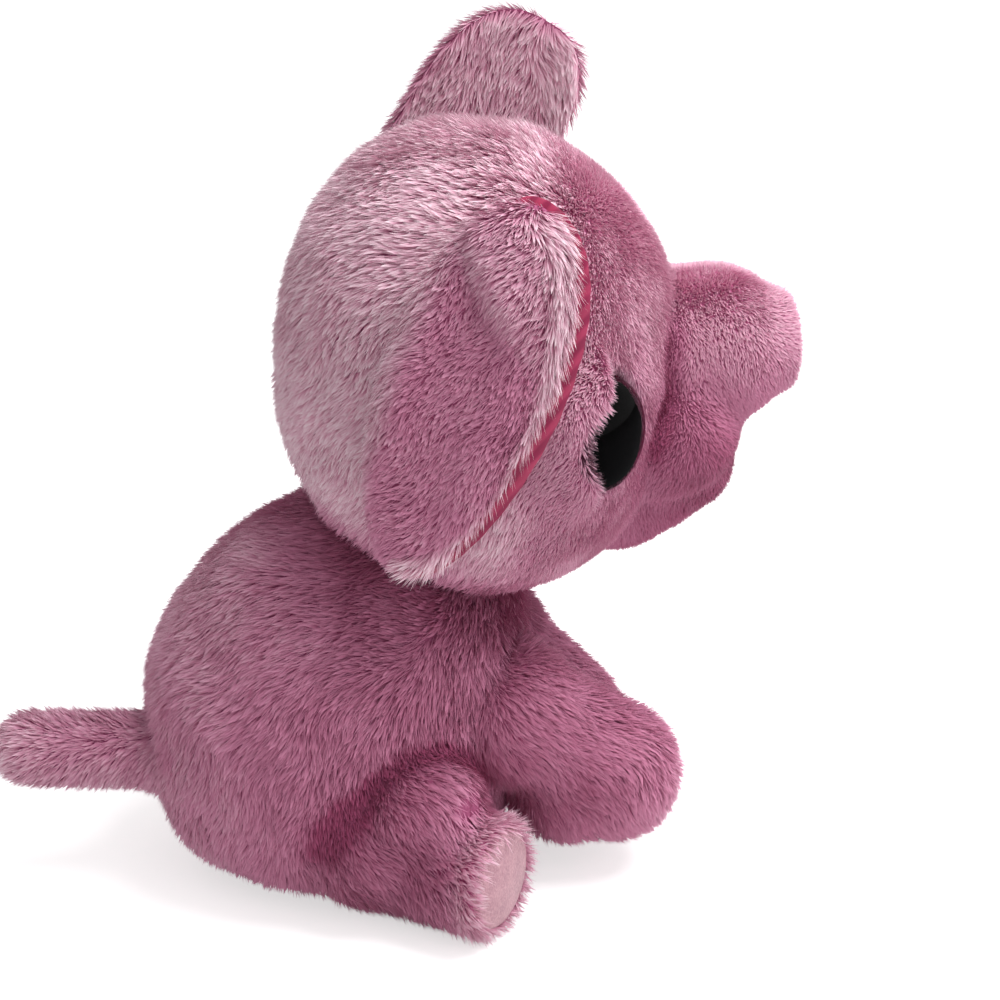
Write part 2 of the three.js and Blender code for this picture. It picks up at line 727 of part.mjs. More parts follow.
function addLimbs() {
  const body = torsoForm(-sweepGap, bodySides, bodyRings);
  const rear = stuffedLimb(rearLegShape, body, true);
  for (const [side, place] of sides) {
    const front = stuffedLimb(frontLegShapes[side], body, true);
    const shoulder = frontLegShapes[side].pivot.clone();
    const hip = rearLegShape.pivot.clone();
    if (side === "left") [shoulder, hip].forEach((point) => { point.x = -point.x; });
    const frontGroup = groupAt(torsoGroup, shoulder, ground);
    addPiece(frontGroup, `front_leg_cover_${side}`, place(front.cover), plush);
    addPiece(frontGroup, `front_leg_fill_${side}`, place(front.fill), stuffing);
    const rearGroup = groupAt(torsoGroup, hip, ground);
    addPiece(rearGroup, `rear_leg_cover_${side}`, place(rear.cover.subtract(solePad(rearLegShape, gap))), plush);
    addPiece(rearGroup, `rear_leg_fill_${side}`, place(rear.fill), stuffing);
    addPiece(rearGroup, `sole_pad_${side}`, place(solePad(rearLegShape, 0)), velour);
  }
  const end = stuffedLimb(tailShape, body, false);
  const tailGroup = groupAt(torsoGroup, tailShape.pivot, ground);
  addPiece(tailGroup, "tail_cover", end.cover, plush);
  addPiece(tailGroup, "tail_fill", end.fill, stuffing);
}

addTorso();
addHead();
addEyes();
addEars();
addLimbs();

// The origin is the middle of the ground that the whole animal covers.
const whole = new THREE.Box3().setFromObject(elephant, true);
elephant.position.set(-(whole.min.x + whole.max.x) / 2, -(whole.min.y + whole.max.y) / 2, 0);

export default elephant;
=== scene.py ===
# A seated plush elephant: long pink plush, a short pile face, satin lined ears and domed plastic eyes
from functools import partial
from math import atan2, cos, hypot, pi, radians, sin

import bmesh
import bpy
from mathutils import Matrix, Quaternion, Vector, noise
from mathutils.bvhtree import BVHTree


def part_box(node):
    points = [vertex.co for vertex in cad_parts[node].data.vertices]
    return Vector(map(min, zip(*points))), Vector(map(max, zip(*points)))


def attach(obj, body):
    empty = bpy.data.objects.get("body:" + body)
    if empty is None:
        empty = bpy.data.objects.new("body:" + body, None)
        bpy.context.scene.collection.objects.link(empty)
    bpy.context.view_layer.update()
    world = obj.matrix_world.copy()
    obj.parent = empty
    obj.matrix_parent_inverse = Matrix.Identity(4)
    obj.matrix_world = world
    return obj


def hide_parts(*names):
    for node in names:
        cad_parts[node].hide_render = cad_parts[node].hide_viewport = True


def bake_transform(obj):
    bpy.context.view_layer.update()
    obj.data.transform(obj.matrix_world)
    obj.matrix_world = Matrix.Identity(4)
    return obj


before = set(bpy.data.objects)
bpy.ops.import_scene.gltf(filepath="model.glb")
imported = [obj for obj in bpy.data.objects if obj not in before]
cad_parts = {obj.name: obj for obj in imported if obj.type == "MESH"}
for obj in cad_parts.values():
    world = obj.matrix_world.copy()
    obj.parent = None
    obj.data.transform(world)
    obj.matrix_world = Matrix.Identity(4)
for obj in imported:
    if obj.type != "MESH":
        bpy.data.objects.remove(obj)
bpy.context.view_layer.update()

mm = 0.001
sides = {"right": -1, "left": 1}
scene = bpy.context.scene
white = (1, 1, 1, 1)


# small helpers

def linear(hexColour):
    # an sRGB hex colour as linear RGBA
    values = [int(hexColour[i:i + 2], 16) / 255 for i in (1, 3, 5)]
    return [v / 12.92 if v <= 0.04045 else ((v + 0.055) / 1.055) ** 2.4 for v in values] + [1]


def addNode(tree, kind, inputs={}, stops=(), **settings):
    # one node with its settings and links: a node or socket is linked to the input, any other value is the
    # input's own, and a ramp has stops of (place, colour)
    node = tree.nodes.new(kind)
    for name, value in settings.items():
        setattr(node, name, value)
    for name, value in inputs.items():
        if isinstance(value, bpy.types.Node):
            value = value.outputs[0]
        if isinstance(value, bpy.types.NodeSocket):
            tree.links.new(value, node.inputs[name])
        else:
            node.inputs[name].default_value = value
    if stops:
        elements = node.color_ramp.elements
        while len(elements) < len(stops):
            elements.new(0.5)
        for element, (place, colour) in zip(elements, stops):
            element.position = place
            element.color = linear(colour)
    return node


def freshNodes(owner):
    # clears the nodes of a material or a world, and gives the call that adds new ones
    owner.use_nodes = True
    owner.node_tree.nodes.clear()
    return partial(addNode, owner.node_tree)


def addObject(name, mesh):
    piece = bpy.data.objects.new(name, mesh)
    scene.collection.objects.link(piece)
    return piece


def meshFrom(bm, name, smooth=True):
    mesh = bpy.data.meshes.new(name)
    bm.to_mesh(mesh)
    bm.free()
    if smooth:
        mesh.shade_smooth()
    return mesh


def applyModifiers(piece, smooth=True):
    graph = bpy.context.evaluated_depsgraph_get()
    piece.data = bpy.data.meshes.new_from_object(piece.evaluated_get(graph))
    piece.modifiers.clear()
    if smooth:
        piece.data.shade_smooth()


def fitPiece(piece, material, body, node):
    # a piece that keeps its form: its material, the body it rides on and the node it replaces
    piece.data.materials.append(material)
    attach(piece, body)
    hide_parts(node)


def clamp(value, low=0.0, high=1.0):
    return max(low, min(high, value))


def ease(start, end, value):
    t = clamp((value - start) / (end - start))
    return t * t * (3 - 2 * t)


def wobble(point, size, seed=0.0):
    # soft lumps of about that size, -1 to 1
    return noise.noise(Vector(point) / size + Vector((seed, seed * 2, -seed)))


# camera: the photograph's view angle, from behind the right side and a little above

view = {"azimuth": 261, "elevation": 23, "distance": 900 * mm, "lens": 105.3,
        "middle": Vector((0, -5.8, 115)) * mm, "aimRight": 27.6 * mm, "aimUp": 1.9 * mm}


def addCamera():
    turn, lift = radians(view["azimuth"]), radians(view["elevation"])
    back = Vector((sin(turn) * cos(lift), -cos(turn) * cos(lift), sin(lift)))
    right = Vector((cos(turn), sin(turn), 0))
    aim = view["middle"] + right * view["aimRight"] + back.cross(right) * view["aimUp"]
    data = bpy.data.cameras.new("camera")
    data.lens = view["lens"]
    data.clip_start = 10 * mm
    camera = addObject("camera", data)
    camera.location = view["middle"] + back * view["distance"]
    camera.rotation_euler = (camera.location - aim).to_track_quat("Z", "Y").to_euler()
    scene.camera = camera


addCamera()


# studio: a pale floor, soft light from above and a white world

studio = {"floorSize": 6.0, "floorColour": "#f4f2f2", "floorInGloss": "#3a3a3c", "floorGlow": 0.6,
          "worldStrength": 0.47, "backdropStrength": 1.0, "glossStrength": 0.12,
          "aim": Vector((0, -0.02, 0.12)),
          "key": {"place": (-0.12, -0.4, 0.95), "size": 0.7, "power": 9.0},
          "fill": {"place": (-1.3, -0.9, 0.9), "size": 1.2, "power": 4.0}}


def addLamp(name, place, size, power):
    lamp = bpy.data.lights.new(name, "AREA")
    lamp.shape = "DISK"
    lamp.size = size
    lamp.energy = power
    holder = addObject(name, lamp)
    holder.location = place
    holder.rotation_euler = (Vector(place) - studio["aim"]).to_track_quat("Z", "Y").to_euler()


def paintWorld():
    # white where the camera looks, a dim room for gloss, and a plain soft level for the light itself
    world = scene.world or bpy.data.worlds.new("studio world")
    scene.world = world
    add = freshNodes(world)
    path = add("ShaderNodeLightPath")
    strength = studio["worldStrength"]
    for ray, level in (("Is Glossy Ray", "glossStrength"), ("Is Camera Ray", "backdropStrength")):
        strength = add("ShaderNodeMix", {0: path.outputs[ray], 2: strength, 3: studio[level]})
    back = add("ShaderNodeBackground", {"Color": white, "Strength": strength})
    add("ShaderNodeOutputWorld", {"Surface": back})


def addFloor():
    bm = bmesh.new()
    bmesh.ops.create_grid(bm, x_segments=1, y_segments=1, size=studio["floorSize"] / 2)
    floor = addObject("floor", meshFrom(bm, "floor", smooth=False))
    material = bpy.data.materials.new("white studio paper")
    add = freshNodes(material)
    path = add("ShaderNodeLightPath")
    seen = add("ShaderNodeMix", {0: path.outputs["Is Glossy Ray"], 6: linear(studio["floorColour"]),
                                 7: linear(studio["floorInGloss"])}, data_type="RGBA")
    paper = add("ShaderNodeBsdfDiffuse", {"Color": seen.outputs[2]})
    glow = add("ShaderNodeEmission", {"Color": white, "Strength": studio["floorGlow"]})
    lift = add("ShaderNodeAddShader", {0: paper, 1: glow})
    mix = add("ShaderNodeMixShader", {0: path.outputs["Is Camera Ray"], 1: paper, 2: lift})
    add("ShaderNodeOutputMaterial", {"Surface": mix})
    floor.data.materials.append(material)


addFloor()
paintWorld()
for lampName in ("key", "fill"):
    addLamp(lampName, **studio[lampName])
scene.view_settings.view_transform = "Standard"
print("studio ready")


# materials: each function gives the sockets of its shader

# the deep tones give the plush's most saturated dye and, at the lowest tints, the painted shade in creases,
# under the chin and head and under the muzzle
plushTones = {"deep": [(0, "#8c3058"), (1, "#a8446e")], "middle": [(0, "#c8789d"), (0.75, "#db94b3")],
              "pale": [(0, "#d68fae"), (0.45, "#eab4c9"), (0.9, "#fceaf0")]}
clothShare = 0.32


def newMaterial(name, surface):
    material = bpy.data.materials.new(name)
    add = freshNodes(material)
    shader = add("ShaderNodeBsdfPrincipled", surface(add))
    add("ShaderNodeOutputMaterial", {"Surface": shader})
    return material


def mottle(add, grain, detail, stops):
    # a cloudy pattern with a grain in mm, and its colours
    place = add("ShaderNodeTexCoord").outputs["Object"]
    clouds = add("ShaderNodeTexNoise", {0: place, 2: 1 / (grain * mm), 3: detail})
    return clouds, add("ShaderNodeValToRGB", {0: clouds}, stops)


def plushPile(add):
    # polyester pile: saturated roots and frosted tips; its map holds the tint across and the way up the lock
    place = add("ShaderNodeSeparateXYZ", {0: add("ShaderNodeUVMap", uv_map="OFBake")})
    tint, along = place.outputs[0], place.outputs[1]
    deep, middle, pale = (add("ShaderNodeValToRGB", {0: along}, stops) for stops in plushTones.values())
    lower = add("ShaderNodeMapRange", {"Value": tint, "From Max": 0.5})
    upper = add("ShaderNodeMapRange", {"Value": tint, "From Min": 0.5})
    darker = add("ShaderNodeMix", {0: lower, 6: deep, 7: middle}, data_type="RGBA").outputs[2]
    colour = add("ShaderNodeMix", {0: upper, 6: darker, 7: pale}, data_type="RGBA").outputs[2]
    # soft pile is lit in part as the cloth that it grows on
    grown = add("ShaderNodeAttribute", attribute_name="cloth_normal").outputs["Vector"]
    ground = add("ShaderNodeVectorTransform", {0: grown}, vector_type="NORMAL", convert_from="OBJECT",
                 convert_to="WORLD")
    own = add("ShaderNodeNewGeometry").outputs["Normal"]
    soft = add("ShaderNodeMix", {0: clothShare, 4: own, 5: ground}, data_type="VECTOR").outputs[1]
    facing = add("ShaderNodeVectorMath", {0: soft}, operation="NORMALIZE")
    return {"Base Color": colour, "Normal": facing, "Roughness": 0.62, "IOR": 1.5, "Specular IOR Level": 0.25,
            "Sheen Weight": 0.25, "Sheen Roughness": 0.5, "Sheen Tint": linear("#ffdfe8")}


def knitBacking(add):
    # knitted polyester backing under the pile: matt, its stitches a little lighter than the gaps between them
    place = add("ShaderNodeTexCoord").outputs["Object"]
    stitches = add("ShaderNodeTexVoronoi", {0: place, 2: 1 / (0.8 * mm)})
    ground = mottle(add, 6, 3.0, [(0.35, "#b05a82"), (0.65, "#c06f93")])[1]
    colour = add("ShaderNodeMix", {0: stitches, 6: ground, 7: linear("#a04b74")}, data_type="RGBA")
    bump = add("ShaderNodeBump", {"Height": stitches, "Strength": 0.4, "Distance": 0.2 * mm})
    return {"Base Color": colour.outputs[2], "Normal": bump, "Roughness": 0.9}


pileMaterial = newMaterial("frosted polyester pile", plushPile)
backingMaterial = newMaterial("knitted plush backing", knitBacking)


# pile: locks and fibres planted on the cloth of each piece

lockShapes = {"lock": {"bend": 0.3, "waist": 0.55}, "fibre": {"bend": 0.0, "waist": 0}}
lockForm = {"radius": 0.5, "thinShare": 0.5, "broadShare": 1.155, "waistShare": 0.9}
combing = ("comb", "density", "shade", "pile", "way", "tint", "across", "along")
growth = {"shortest": 0.72, "longest": 1.12, "tintShare": 0.92, "acrossShare": 0.08, "lowest": 0.3}


def writeAttribute(mesh, name, values):
    vector = hasattr(values[0], "__len__")
    attribute = mesh.attributes.get(name) or mesh.attributes.new(
        name, "FLOAT_VECTOR" if vector else "FLOAT", "POINT")
    flat = [number for value in values for number in value] if vector else values
    attribute.data.foreach_set("vector" if vector else "value", flat)


def lockMesh(name, bend, waist):
    # a flat three sided lock, one long and one wide, with a broad side away from its own X and a bend towards
    # it; up to its waist it stays nearly as wide as at its root
    bm = bmesh.new()
    turn = Matrix.Rotation(-pi / 2, 4, "Z")
    flatten = Matrix.Diagonal((lockForm["thinShare"], lockForm["broadShare"], 1, 1))
    bmesh.ops.create_cone(bm, cap_ends=True, segments=3, radius1=lockForm["radius"], radius2=0, depth=1,
                          matrix=flatten @ Matrix.Translation((0, 0, 0.5)) @ turn)
    bmesh.ops.remove_doubles(bm, verts=bm.verts, dist=1e-4)
    if waist:
        bmesh.ops.bisect_plane(bm, geom=bm.verts[:] + bm.edges[:] + bm.faces[:], dist=1e-6,
                               plane_co=(0, 0, waist), plane_no=(0, 0, 1))
        for vertex in bm.verts:
            if 0.01 < vertex.co.z < 0.99:
                vertex.co.xy *= lockForm["waistShare"] / (1 - vertex.co.z)
    bmesh.ops.triangulate(bm, faces=bm.faces)
    bmesh.ops.recalc_face_normals(bm, faces=bm.faces)
    across = [vertex.co.y + 0.5 for vertex in bm.verts]
    along = [vertex.co.z for vertex in bm.verts]
    for vertex in bm.verts:
        vertex.co.x += bend * vertex.co.z ** 2
    mesh = meshFrom(bm, name, smooth=False)
    writeAttribute(mesh, "along", along)
    writeAttribute(mesh, "across", across)
    return addObject(name, mesh)


lockPieces = {name: lockMesh(name, **shape) for name, shape in lockShapes.items()}

layers = {
    "locks": {"shape": "lock", "perMm2": 0.45, "width": 0.95, "length": 0.9, "pull": 0.8,
              "cell": 3.4, "fluff": 0.2, "tintSpread": 0.05},
    "fibres": {"shape": "fibre", "perMm2": 2.1, "width": 0.5, "length": 1.0, "pull": 0.55,
               "cell": 2.3, "fluff": 0.34, "tintSpread": 0.07},
    "short_fibres": {"shape": "fibre", "perMm2": 4.0, "width": 0.62, "length": 1.0, "pull": 0.3,
                     "cell": 3.0, "fluff": 0.42, "tintSpread": 0.07},
}


def pileTree(layer, seed):
    # scatters the lock over the cloth, combed by the cloth's own attributes, and gives each lock its map
    style = layers[layer]
    cell = style["cell"] * mm
    tree = bpy.data.node_groups.new(f"{layer} {seed}", "GeometryNodeTree")
    tree.interface.new_socket("Cloth", in_out="INPUT", socket_type="NodeSocketGeometry")
    tree.interface.new_socket("Pile", in_out="OUTPUT", socket_type="NodeSocketGeometry")
    add = partial(addNode, tree)
    known = {name: add("GeometryNodeInputNamedAttribute", {0: name},
                       data_type="FLOAT_VECTOR" if name in ("comb", "way") else "FLOAT")
             for name in combing}
    density = add("ShaderNodeMath", {0: known["density"], 1: style["perMm2"] / mm ** 2}, operation="MULTIPLY")
    points = add("GeometryNodeDistributePointsOnFaces", {0: add("NodeGroupInput"), 4: density, 6: seed})
    upward = points.outputs[1]
    place = add("GeometryNodeInputPosition")
    clump = add("ShaderNodeTexVoronoi", {0: place, 2: 1 / cell})
    apart = add("ShaderNodeVectorMath", {0: clump.outputs[2], 1: place}, operation="SUBTRACT")
    toClump = add("ShaderNodeVectorMath", {0: apart, 3: style["pull"] / cell}, operation="SCALE")
    loose = add("FunctionNodeRandomValue", {0: (-1, -1, -1), 1: (1, 1, 1), 8: seed + 1},
                data_type="FLOAT_VECTOR")
    fluff = add("ShaderNodeVectorMath", {0: loose, 3: style["fluff"]}, operation="SCALE")
    way = upward
    for lean in (known["comb"], toClump, fluff):
        way = add("ShaderNodeVectorMath", {0: way, 1: lean}, operation="ADD")
    spread = add("FunctionNodeRandomValue", {2: -style["tintSpread"], 3: style["tintSpread"], 8: seed + 2},
                 data_type="FLOAT").outputs[1]
    tint = add("ShaderNodeMath", {0: known["shade"], 1: spread}, operation="ADD", use_clamp=True)
    rooted = points
    for name, value, kind in (("way", way, "FLOAT_VECTOR"), ("tint", tint, "FLOAT"),
                              ("cloth_normal", upward, "FLOAT_VECTOR")):
        rooted = add("GeometryNodeStoreNamedAttribute", {0: rooted, 2: name, 3: value}, data_type=kind,
                     domain="POINT")
    upright = add("FunctionNodeAlignRotationToVector", {2: known["way"]}, axis="Z")
    bent = add("FunctionNodeAlignRotationToVector", {0: upright, 2: known["comb"]}, axis="X", pivot_axis="Z")
    vary = add("FunctionNodeRandomValue", {2: growth["shortest"], 3: growth["longest"], 8: seed + 3},
               data_type="FLOAT").outputs[1]
    varied = add("ShaderNodeMath", {0: known["pile"], 1: vary}, operation="MULTIPLY")
    long = add("ShaderNodeMath", {0: varied, 1: style["length"]}, operation="MULTIPLY")
    wide = add("ShaderNodeMath", {0: vary, 1: style["width"] * mm}, operation="MULTIPLY")
    size = add("ShaderNodeCombineXYZ", {0: wide, 1: wide, 2: long})
    lock = add("GeometryNodeObjectInfo", {0: lockPieces[style["shape"]]}).outputs[4]
    planted = add("GeometryNodeInstanceOnPoints", {0: rooted, 2: lock, 5: bent, 6: size})
    real = add("GeometryNodeRealizeInstances", {0: planted})
    across = add("ShaderNodeMath", {0: known["across"], 1: growth["acrossShare"]}, operation="MULTIPLY")
    u = add("ShaderNodeMath", {0: known["tint"], 1: growth["tintShare"], 2: across}, operation="MULTIPLY_ADD")
    uv = add("ShaderNodeCombineXYZ", {0: u, 1: known["along"]})
    mapped = add("GeometryNodeStoreNamedAttribute", {0: real, 2: "OFBake", 3: uv}, data_type="FLOAT2",
                 domain="CORNER")
    add("NodeGroupOutput", {0: mapped})
    return tree


seeds = iter(range(10, 1000, 10))


def plantPile(cloth, layer, name, mask):
    # one piece of pile, on the part of the cloth where mask(vertex) holds
    carrier = cloth.data.copy()
    density = [0.0] * len(carrier.vertices)
    carrier.attributes["density"].data.foreach_get("value", density)
    density = [value * mask(vertex) for value, vertex in zip(density, carrier.vertices)]
    writeAttribute(carrier, "density", density)
    piece = addObject(name, carrier)
    grow = piece.modifiers.new("pile", "NODES")
    grow.node_group = pileTree(layer, next(seeds))
    applyModifiers(piece, smooth=False)
    mesh = piece.data
    for spare in combing:
        if spare in mesh.attributes:
            mesh.attributes.remove(mesh.attributes[spare])
    for vertex in mesh.vertices:
        vertex.co.z = max(vertex.co.z, growth["lowest"] * mm)
    mesh.materials.clear()
    mesh.materials.append(pileMaterial)
    return piece


# cloth forms

def fullBall(point, fullness):
    # a unit ball whose rings bulge or slim towards the poles
    around = max(hypot(point.x, point.y), 1e-9)
    share = max(0.0, 1 - abs(point.z) ** fullness) ** (1 / fullness) / around
    return Vector((point.x * share, point.y * share, point.z))


def formedBall(name, form):
    bm = bmesh.new()
    bmesh.ops.create_icosphere(bm, subdivisions=6, radius=1)
    for vertex in bm.verts:
        vertex.co = form(vertex.co.copy()) * mm
    bm.normal_update()
    bmesh.ops.recalc_face_normals(bm, faces=bm.faces)
    return addObject(name, meshFrom(bm, name))


def remesh(piece, voxel, smoothing=0):
    grid = piece.modifiers.new("grid", "REMESH")
    grid.mode = "VOXEL"
    grid.voxel_size = voxel * mm
    if smoothing:
        soften = piece.modifiers.new("soften", "SMOOTH")
        soften.iterations = smoothing
    applyModifiers(piece)


def addBead(bm, middle, radius):
    # radius is one number, or three for an oval bead
    half = Vector(radius) if hasattr(radius, "__len__") else Vector((radius,) * 3)
    place = Matrix.Translation(Vector(middle) * mm) @ Matrix.Diagonal((half * mm).to_4d())
    place[3][3] = 1
    bmesh.ops.create_icosphere(bm, subdivisions=3, radius=1, matrix=place)


tubeVoxel = 1.7


def stuffedTube(name, beads, cuts=(), smoothing=8):
    # a sleeve over a row of beads, (middle, radius) each in mm, cut flat where a sole or a floor is
    bm = bmesh.new()
    for middle, radius in beads:
        addBead(bm, middle, radius)
    piece = addObject(name, meshFrom(bm, name))
    remesh(piece, tubeVoxel)
    for middle, outward in cuts:
        bm = bmesh.new()
        bm.from_mesh(piece.data)
        cut = bmesh.ops.bisect_plane(bm, geom=bm.verts[:] + bm.edges[:] + bm.faces[:], clear_outer=True,
                                     plane_co=Vector(middle) * mm, plane_no=outward)
        rim = [edge for edge in cut["geom_cut"] if isinstance(edge, bmesh.types.BMEdge)]
        bmesh.ops.contextual_create(bm, geom=rim)
        bmesh.ops.triangulate(bm, faces=bm.faces)
        piece.data = meshFrom(bm, name)
    remesh(piece, tubeVoxel, smoothing)
    return piece


def row(start, end, firstRadius, lastRadius, count=12):
    start, end = Vector(start), Vector(end)
    return [(start.lerp(end, i / (count - 1)), firstRadius + (lastRadius - firstRadius) * i / (count - 1))
            for i in range(count)]


def tangent(way, normal):
    flat = way - normal * way.dot(normal)
    return flat.normalized() if flat.length > 1e-6 else Vector((0, 0, 0))


def mirrorPoint(point, side):
    return Vector((point.x * sides[side], point.y, point.z))


def sideOf(point):
    return "right" if point.x < 0 else "left"


# torso: a fat bag that leans back a little at the top and sits flat

torso = {"width": 114, "depth": 121, "height": 128, "lean": 16.94, "taper": 0.1, "upper": 1.95, "lower": 3.8,
         "middle": Vector((0, 19.2, 63.5)), "inset": 3.6, "seat": 1.5, "pile": 5.6}
neck = {"pivot": Vector((0, -5.6, 109.6)), "axis": Vector((0, -sin(radians(22)), cos(radians(22)))),
        "tuckShare": 0.8, "torsoBend": (-28, -2), "headBend": (-1, 26)}
cloths = {}
rules = {}


def torsoForm(v):
    inset = torso["inset"]
    v = fullBall(v, torso["upper"] if v.z > 0 else torso["lower"])
    x = v.x * (torso["width"] / 2 - inset) * (1 - torso["taper"] * v.z)
    y = v.y * (torso["depth"] / 2 - inset) - torso["lean"] * max(0, v.z)
    point = torso["middle"] + Vector((x, y, v.z * (torso["height"] / 2 - inset)))
    above = (point - neck["pivot"]).dot(neck["axis"])
    if above > 0:
        point -= neck["axis"] * above * neck["tuckShare"]
    lump = wobble(point, 34, 3) * 1.8 + wobble(point, 15, 8) * 1.3
    point += v.normalized() * lump * ease(0, 20, point.z)
    point.z = max(point.z, torso["seat"])
    return point


def torsoRule(point, normal):
    # combed back at the top and down below, frosted along the back, and darkened under the chin with painted
    # shade
    low = 1 - ease(40, 95, point.z)
    way = tangent(Vector((0, 0.95 - 0.75 * low, -0.42 - 0.58 * low)), normal)
    shade = 0.32 + 0.26 * ease(20, 72, point.y) + 0.24 * ease(60, 115, point.z) * ease(5, 45, point.y)
    shade += 0.1 * wobble(point, 12, 4) + 0.08 * wobble(point, 5, 4)
    # painted shade: the tone is darkened under the chin, where the head overhangs the torso
    under = ease(-26, -4, (point - neck["pivot"]).dot(neck["axis"])) * (1 - ease(0, 45, point.y))
    shade *= 1 - 0.5 * under
    length = torso["pile"] * (0.75 + 0.25 * ease(0, 12, point.z))
    return length, ease(-0.98, -0.8, normal.z), shade, way * 1.55


cloths["torso"] = formedBall("torso_cloth", torsoForm)
rules["torso"] = torsoRule


# legs and tail

frontLeg = {"pivot": Vector((26, -31.6, 55.5)), "slope": {"right": 36, "left": 50}, "length": 64, "root": 25,
            "start": 22, "paw": 24, "inset": 3.2, "pile": 5.4, "heel": Vector((0, -18.5, -25)),
            "heelRadius": 22, "bend": (-14, 16)}
rearLeg = {"pivot": Vector((39, 11.3, 27.5)), "splay": 40, "axisHeight": 20, "length": 43, "radius": 20.5,
           "root": 28, "inset": 3.0, "pile": 5.2, "thighAhead": 14, "thighRise": 11, "thighRadius": 22.5,
           "bend": (-16, 16)}
tail = {"pivot": Vector((0, 75.5, 39.7)), "rise": 6, "length": 49, "radius": 12.3, "root": 13.5, "inset": 1.8,
        "pile": 5.2, "bend": (-8, 12)}
limbs = {}
limbLay = 1.45


def limbRule(name, shade=0.34, tipShade=0.6):
    # combed towards the paw and a little down, paler at its end
    start, way, length, pile = (limbs[name][key] for key in ("from", "way", "length", "pile"))

    def rule(point, normal):
        along = (point - start).dot(way) / length
        lean = tangent(way + Vector((0, 0, -0.6)), normal)
        tone = shade + (tipShade - shade) * ease(0.45, 1.05, along) + 0.1 * wobble(point, 11, 6)
        tone += 0.06 * wobble(point, 5, 6)
        return pile, 1.0, tone, lean * limbLay
    return rule


def soleRule(name):
    # the pile stops at the sole's rim and stands up round it as a pale fringe
    plain = limbRule(name, 0.28, 0.7)
    start, way, length = (limbs[name][key] for key in ("from", "way", "length"))

    def rule(point, normal):
        pile, share, tone, lean = plain(point, normal)
        rim = ease(length - 14, length - 3, (point - start).dot(way))
        share = 1 - ease(0.75, 0.92, normal.dot(way))
        return pile * (1 + 0.25 * rim), share, tone + 0.2 * rim, lean * (1 - 0.35 * rim)
    return rule


def frontLegCloth(side):
    # from the shoulder to the paw; the raised right leg sags into a full heel
    name, slope, inset = f"front_leg_{side}", radians(frontLeg["slope"][side]), frontLeg["inset"]
    way, pivot = Vector((0, -cos(slope), -sin(slope))), mirrorPoint(frontLeg["pivot"], side)
    limbs[name] = {**frontLeg, "from": pivot, "pivot": pivot, "way": way}
    paw = pivot + way * (frontLeg["length"] - frontLeg["paw"])
    beads = [(pivot, frontLeg["root"] - inset)]
    beads += row(pivot, paw, frontLeg["start"] - inset, frontLeg["paw"] - inset, 14)
    if side == "right":
        beads.append((pivot + frontLeg["heel"], frontLeg["heelRadius"] - inset))
    cloths[name] = stuffedTube(f"{name}_cloth", beads)
    rules[name] = limbRule(name)


def rearLegCloth(side):
    # from the hip along the floor to the sole, with the thigh's fullness over it
    name, splay, inset = f"rear_leg_{side}", radians(rearLeg["splay"]), rearLeg["inset"]
    way, pivot = Vector((sides[side] * sin(splay), -cos(splay), 0)), mirrorPoint(rearLeg["pivot"], side)
    low = Vector((pivot.x, pivot.y, rearLeg["axisHeight"]))
    limbs[name] = {**rearLeg, "from": low, "pivot": pivot, "way": way}
    sole = low + way * (rearLeg["length"] - 1)
    thigh = pivot + way * rearLeg["thighAhead"] + Vector((0, 0, rearLeg["thighRise"]))
    radius = rearLeg["radius"] - inset
    beads = [(pivot, rearLeg["root"] - inset), (thigh, rearLeg["thighRadius"] - inset)]
    beads += row(low, sole + way * 2, radius, radius, 16)
    seat = ((0, 0, torso["seat"]), (0, 0, -1))
    cloths[name] = stuffedTube(f"{name}_cloth", beads, cuts=[(sole, way), seat], smoothing=4)
    rules[name] = soleRule(name)


def tailCloth():
    rise, radius = radians(tail["rise"]), tail["radius"] - tail["inset"]
    way, pivot = Vector((0, cos(rise), sin(rise))), tail["pivot"]
    limbs["tail"] = {**tail, "from": pivot, "way": way}
    end = pivot + way * (tail["length"] - tail["radius"] + 2)
    beads = [(pivot, tail["root"] - tail["inset"])] + row(pivot, end, radius, radius)
    cloths["tail"] = stuffedTube("tail_cloth", beads)
    rules["tail"] = limbRule("tail", 0.66, 0.9)


for side in sides:
    frontLegCloth(side)
    rearLegCloth(side)
tailCloth()


# head: a wide ball, its face drawn in towards the front, with a muzzle and a trunk

head = {"width": 130, "depth": 124, "height": 146, "cheek": 0.04, "crown": 0.07, "crownBack": 2.48,
        "taper": 0.26, "curve": 1.5, "fullness": 2.25, "middle": Vector((0, -27.2, 163.05)), "inset": 3.2,
        "faceInset": 1.6, "pile": 5.6, "facePile": 2.5}
eye = {"diameter": 34, "bulge": 9, "sink": 0.17, "turn": 46, "lift": 2, "site": 63, "drop": 7.3,
       "frontPocket": 18.4, "rearPocket": 12.2, "lip": 8.8}


def faceShare(point):
    # 1 on the short pile of the face, 0 on the long pile behind it
    nearEye = 1 - ease(24, 33, (point - eyes[sideOf(point)][0]).length)
    return max(nearEye, 1 - ease(-44, -30, point.y + 0.2 * (point.z - 160)))


def headForm(v):
    v = fullBall(v, head["fullness"])
    top = max(0, v.z)
    inset = head["inset"] + (head["faceInset"] - head["inset"]) * ease(0.1, 0.5, -v.y)
    x = v.x * (head["width"] / 2 - inset) * (1 - head["cheek"] * v.z)
    x *= 1 - head["taper"] * max(0, -v.y) ** head["curve"]
    y = v.y * (head["depth"] / 2 - inset) * (1 - head["crown"] * top ** 2) + head["crownBack"] * top
    point = head["middle"] + Vector((x, y, v.z * (head["height"] / 2 - inset)))
    below = (point - neck["pivot"]).dot(neck["axis"])
    if below < 0:
        point -= neck["axis"] * below * neck["tuckShare"]
    outward = (point - head["middle"]).normalized()
    soft = 1 - ease(0.1, 0.5, -v.y)
    return point + outward * (wobble(point, 34, 1) * 1.3 + wobble(point, 14, 5) * (0.4 + 0.9 * soft))


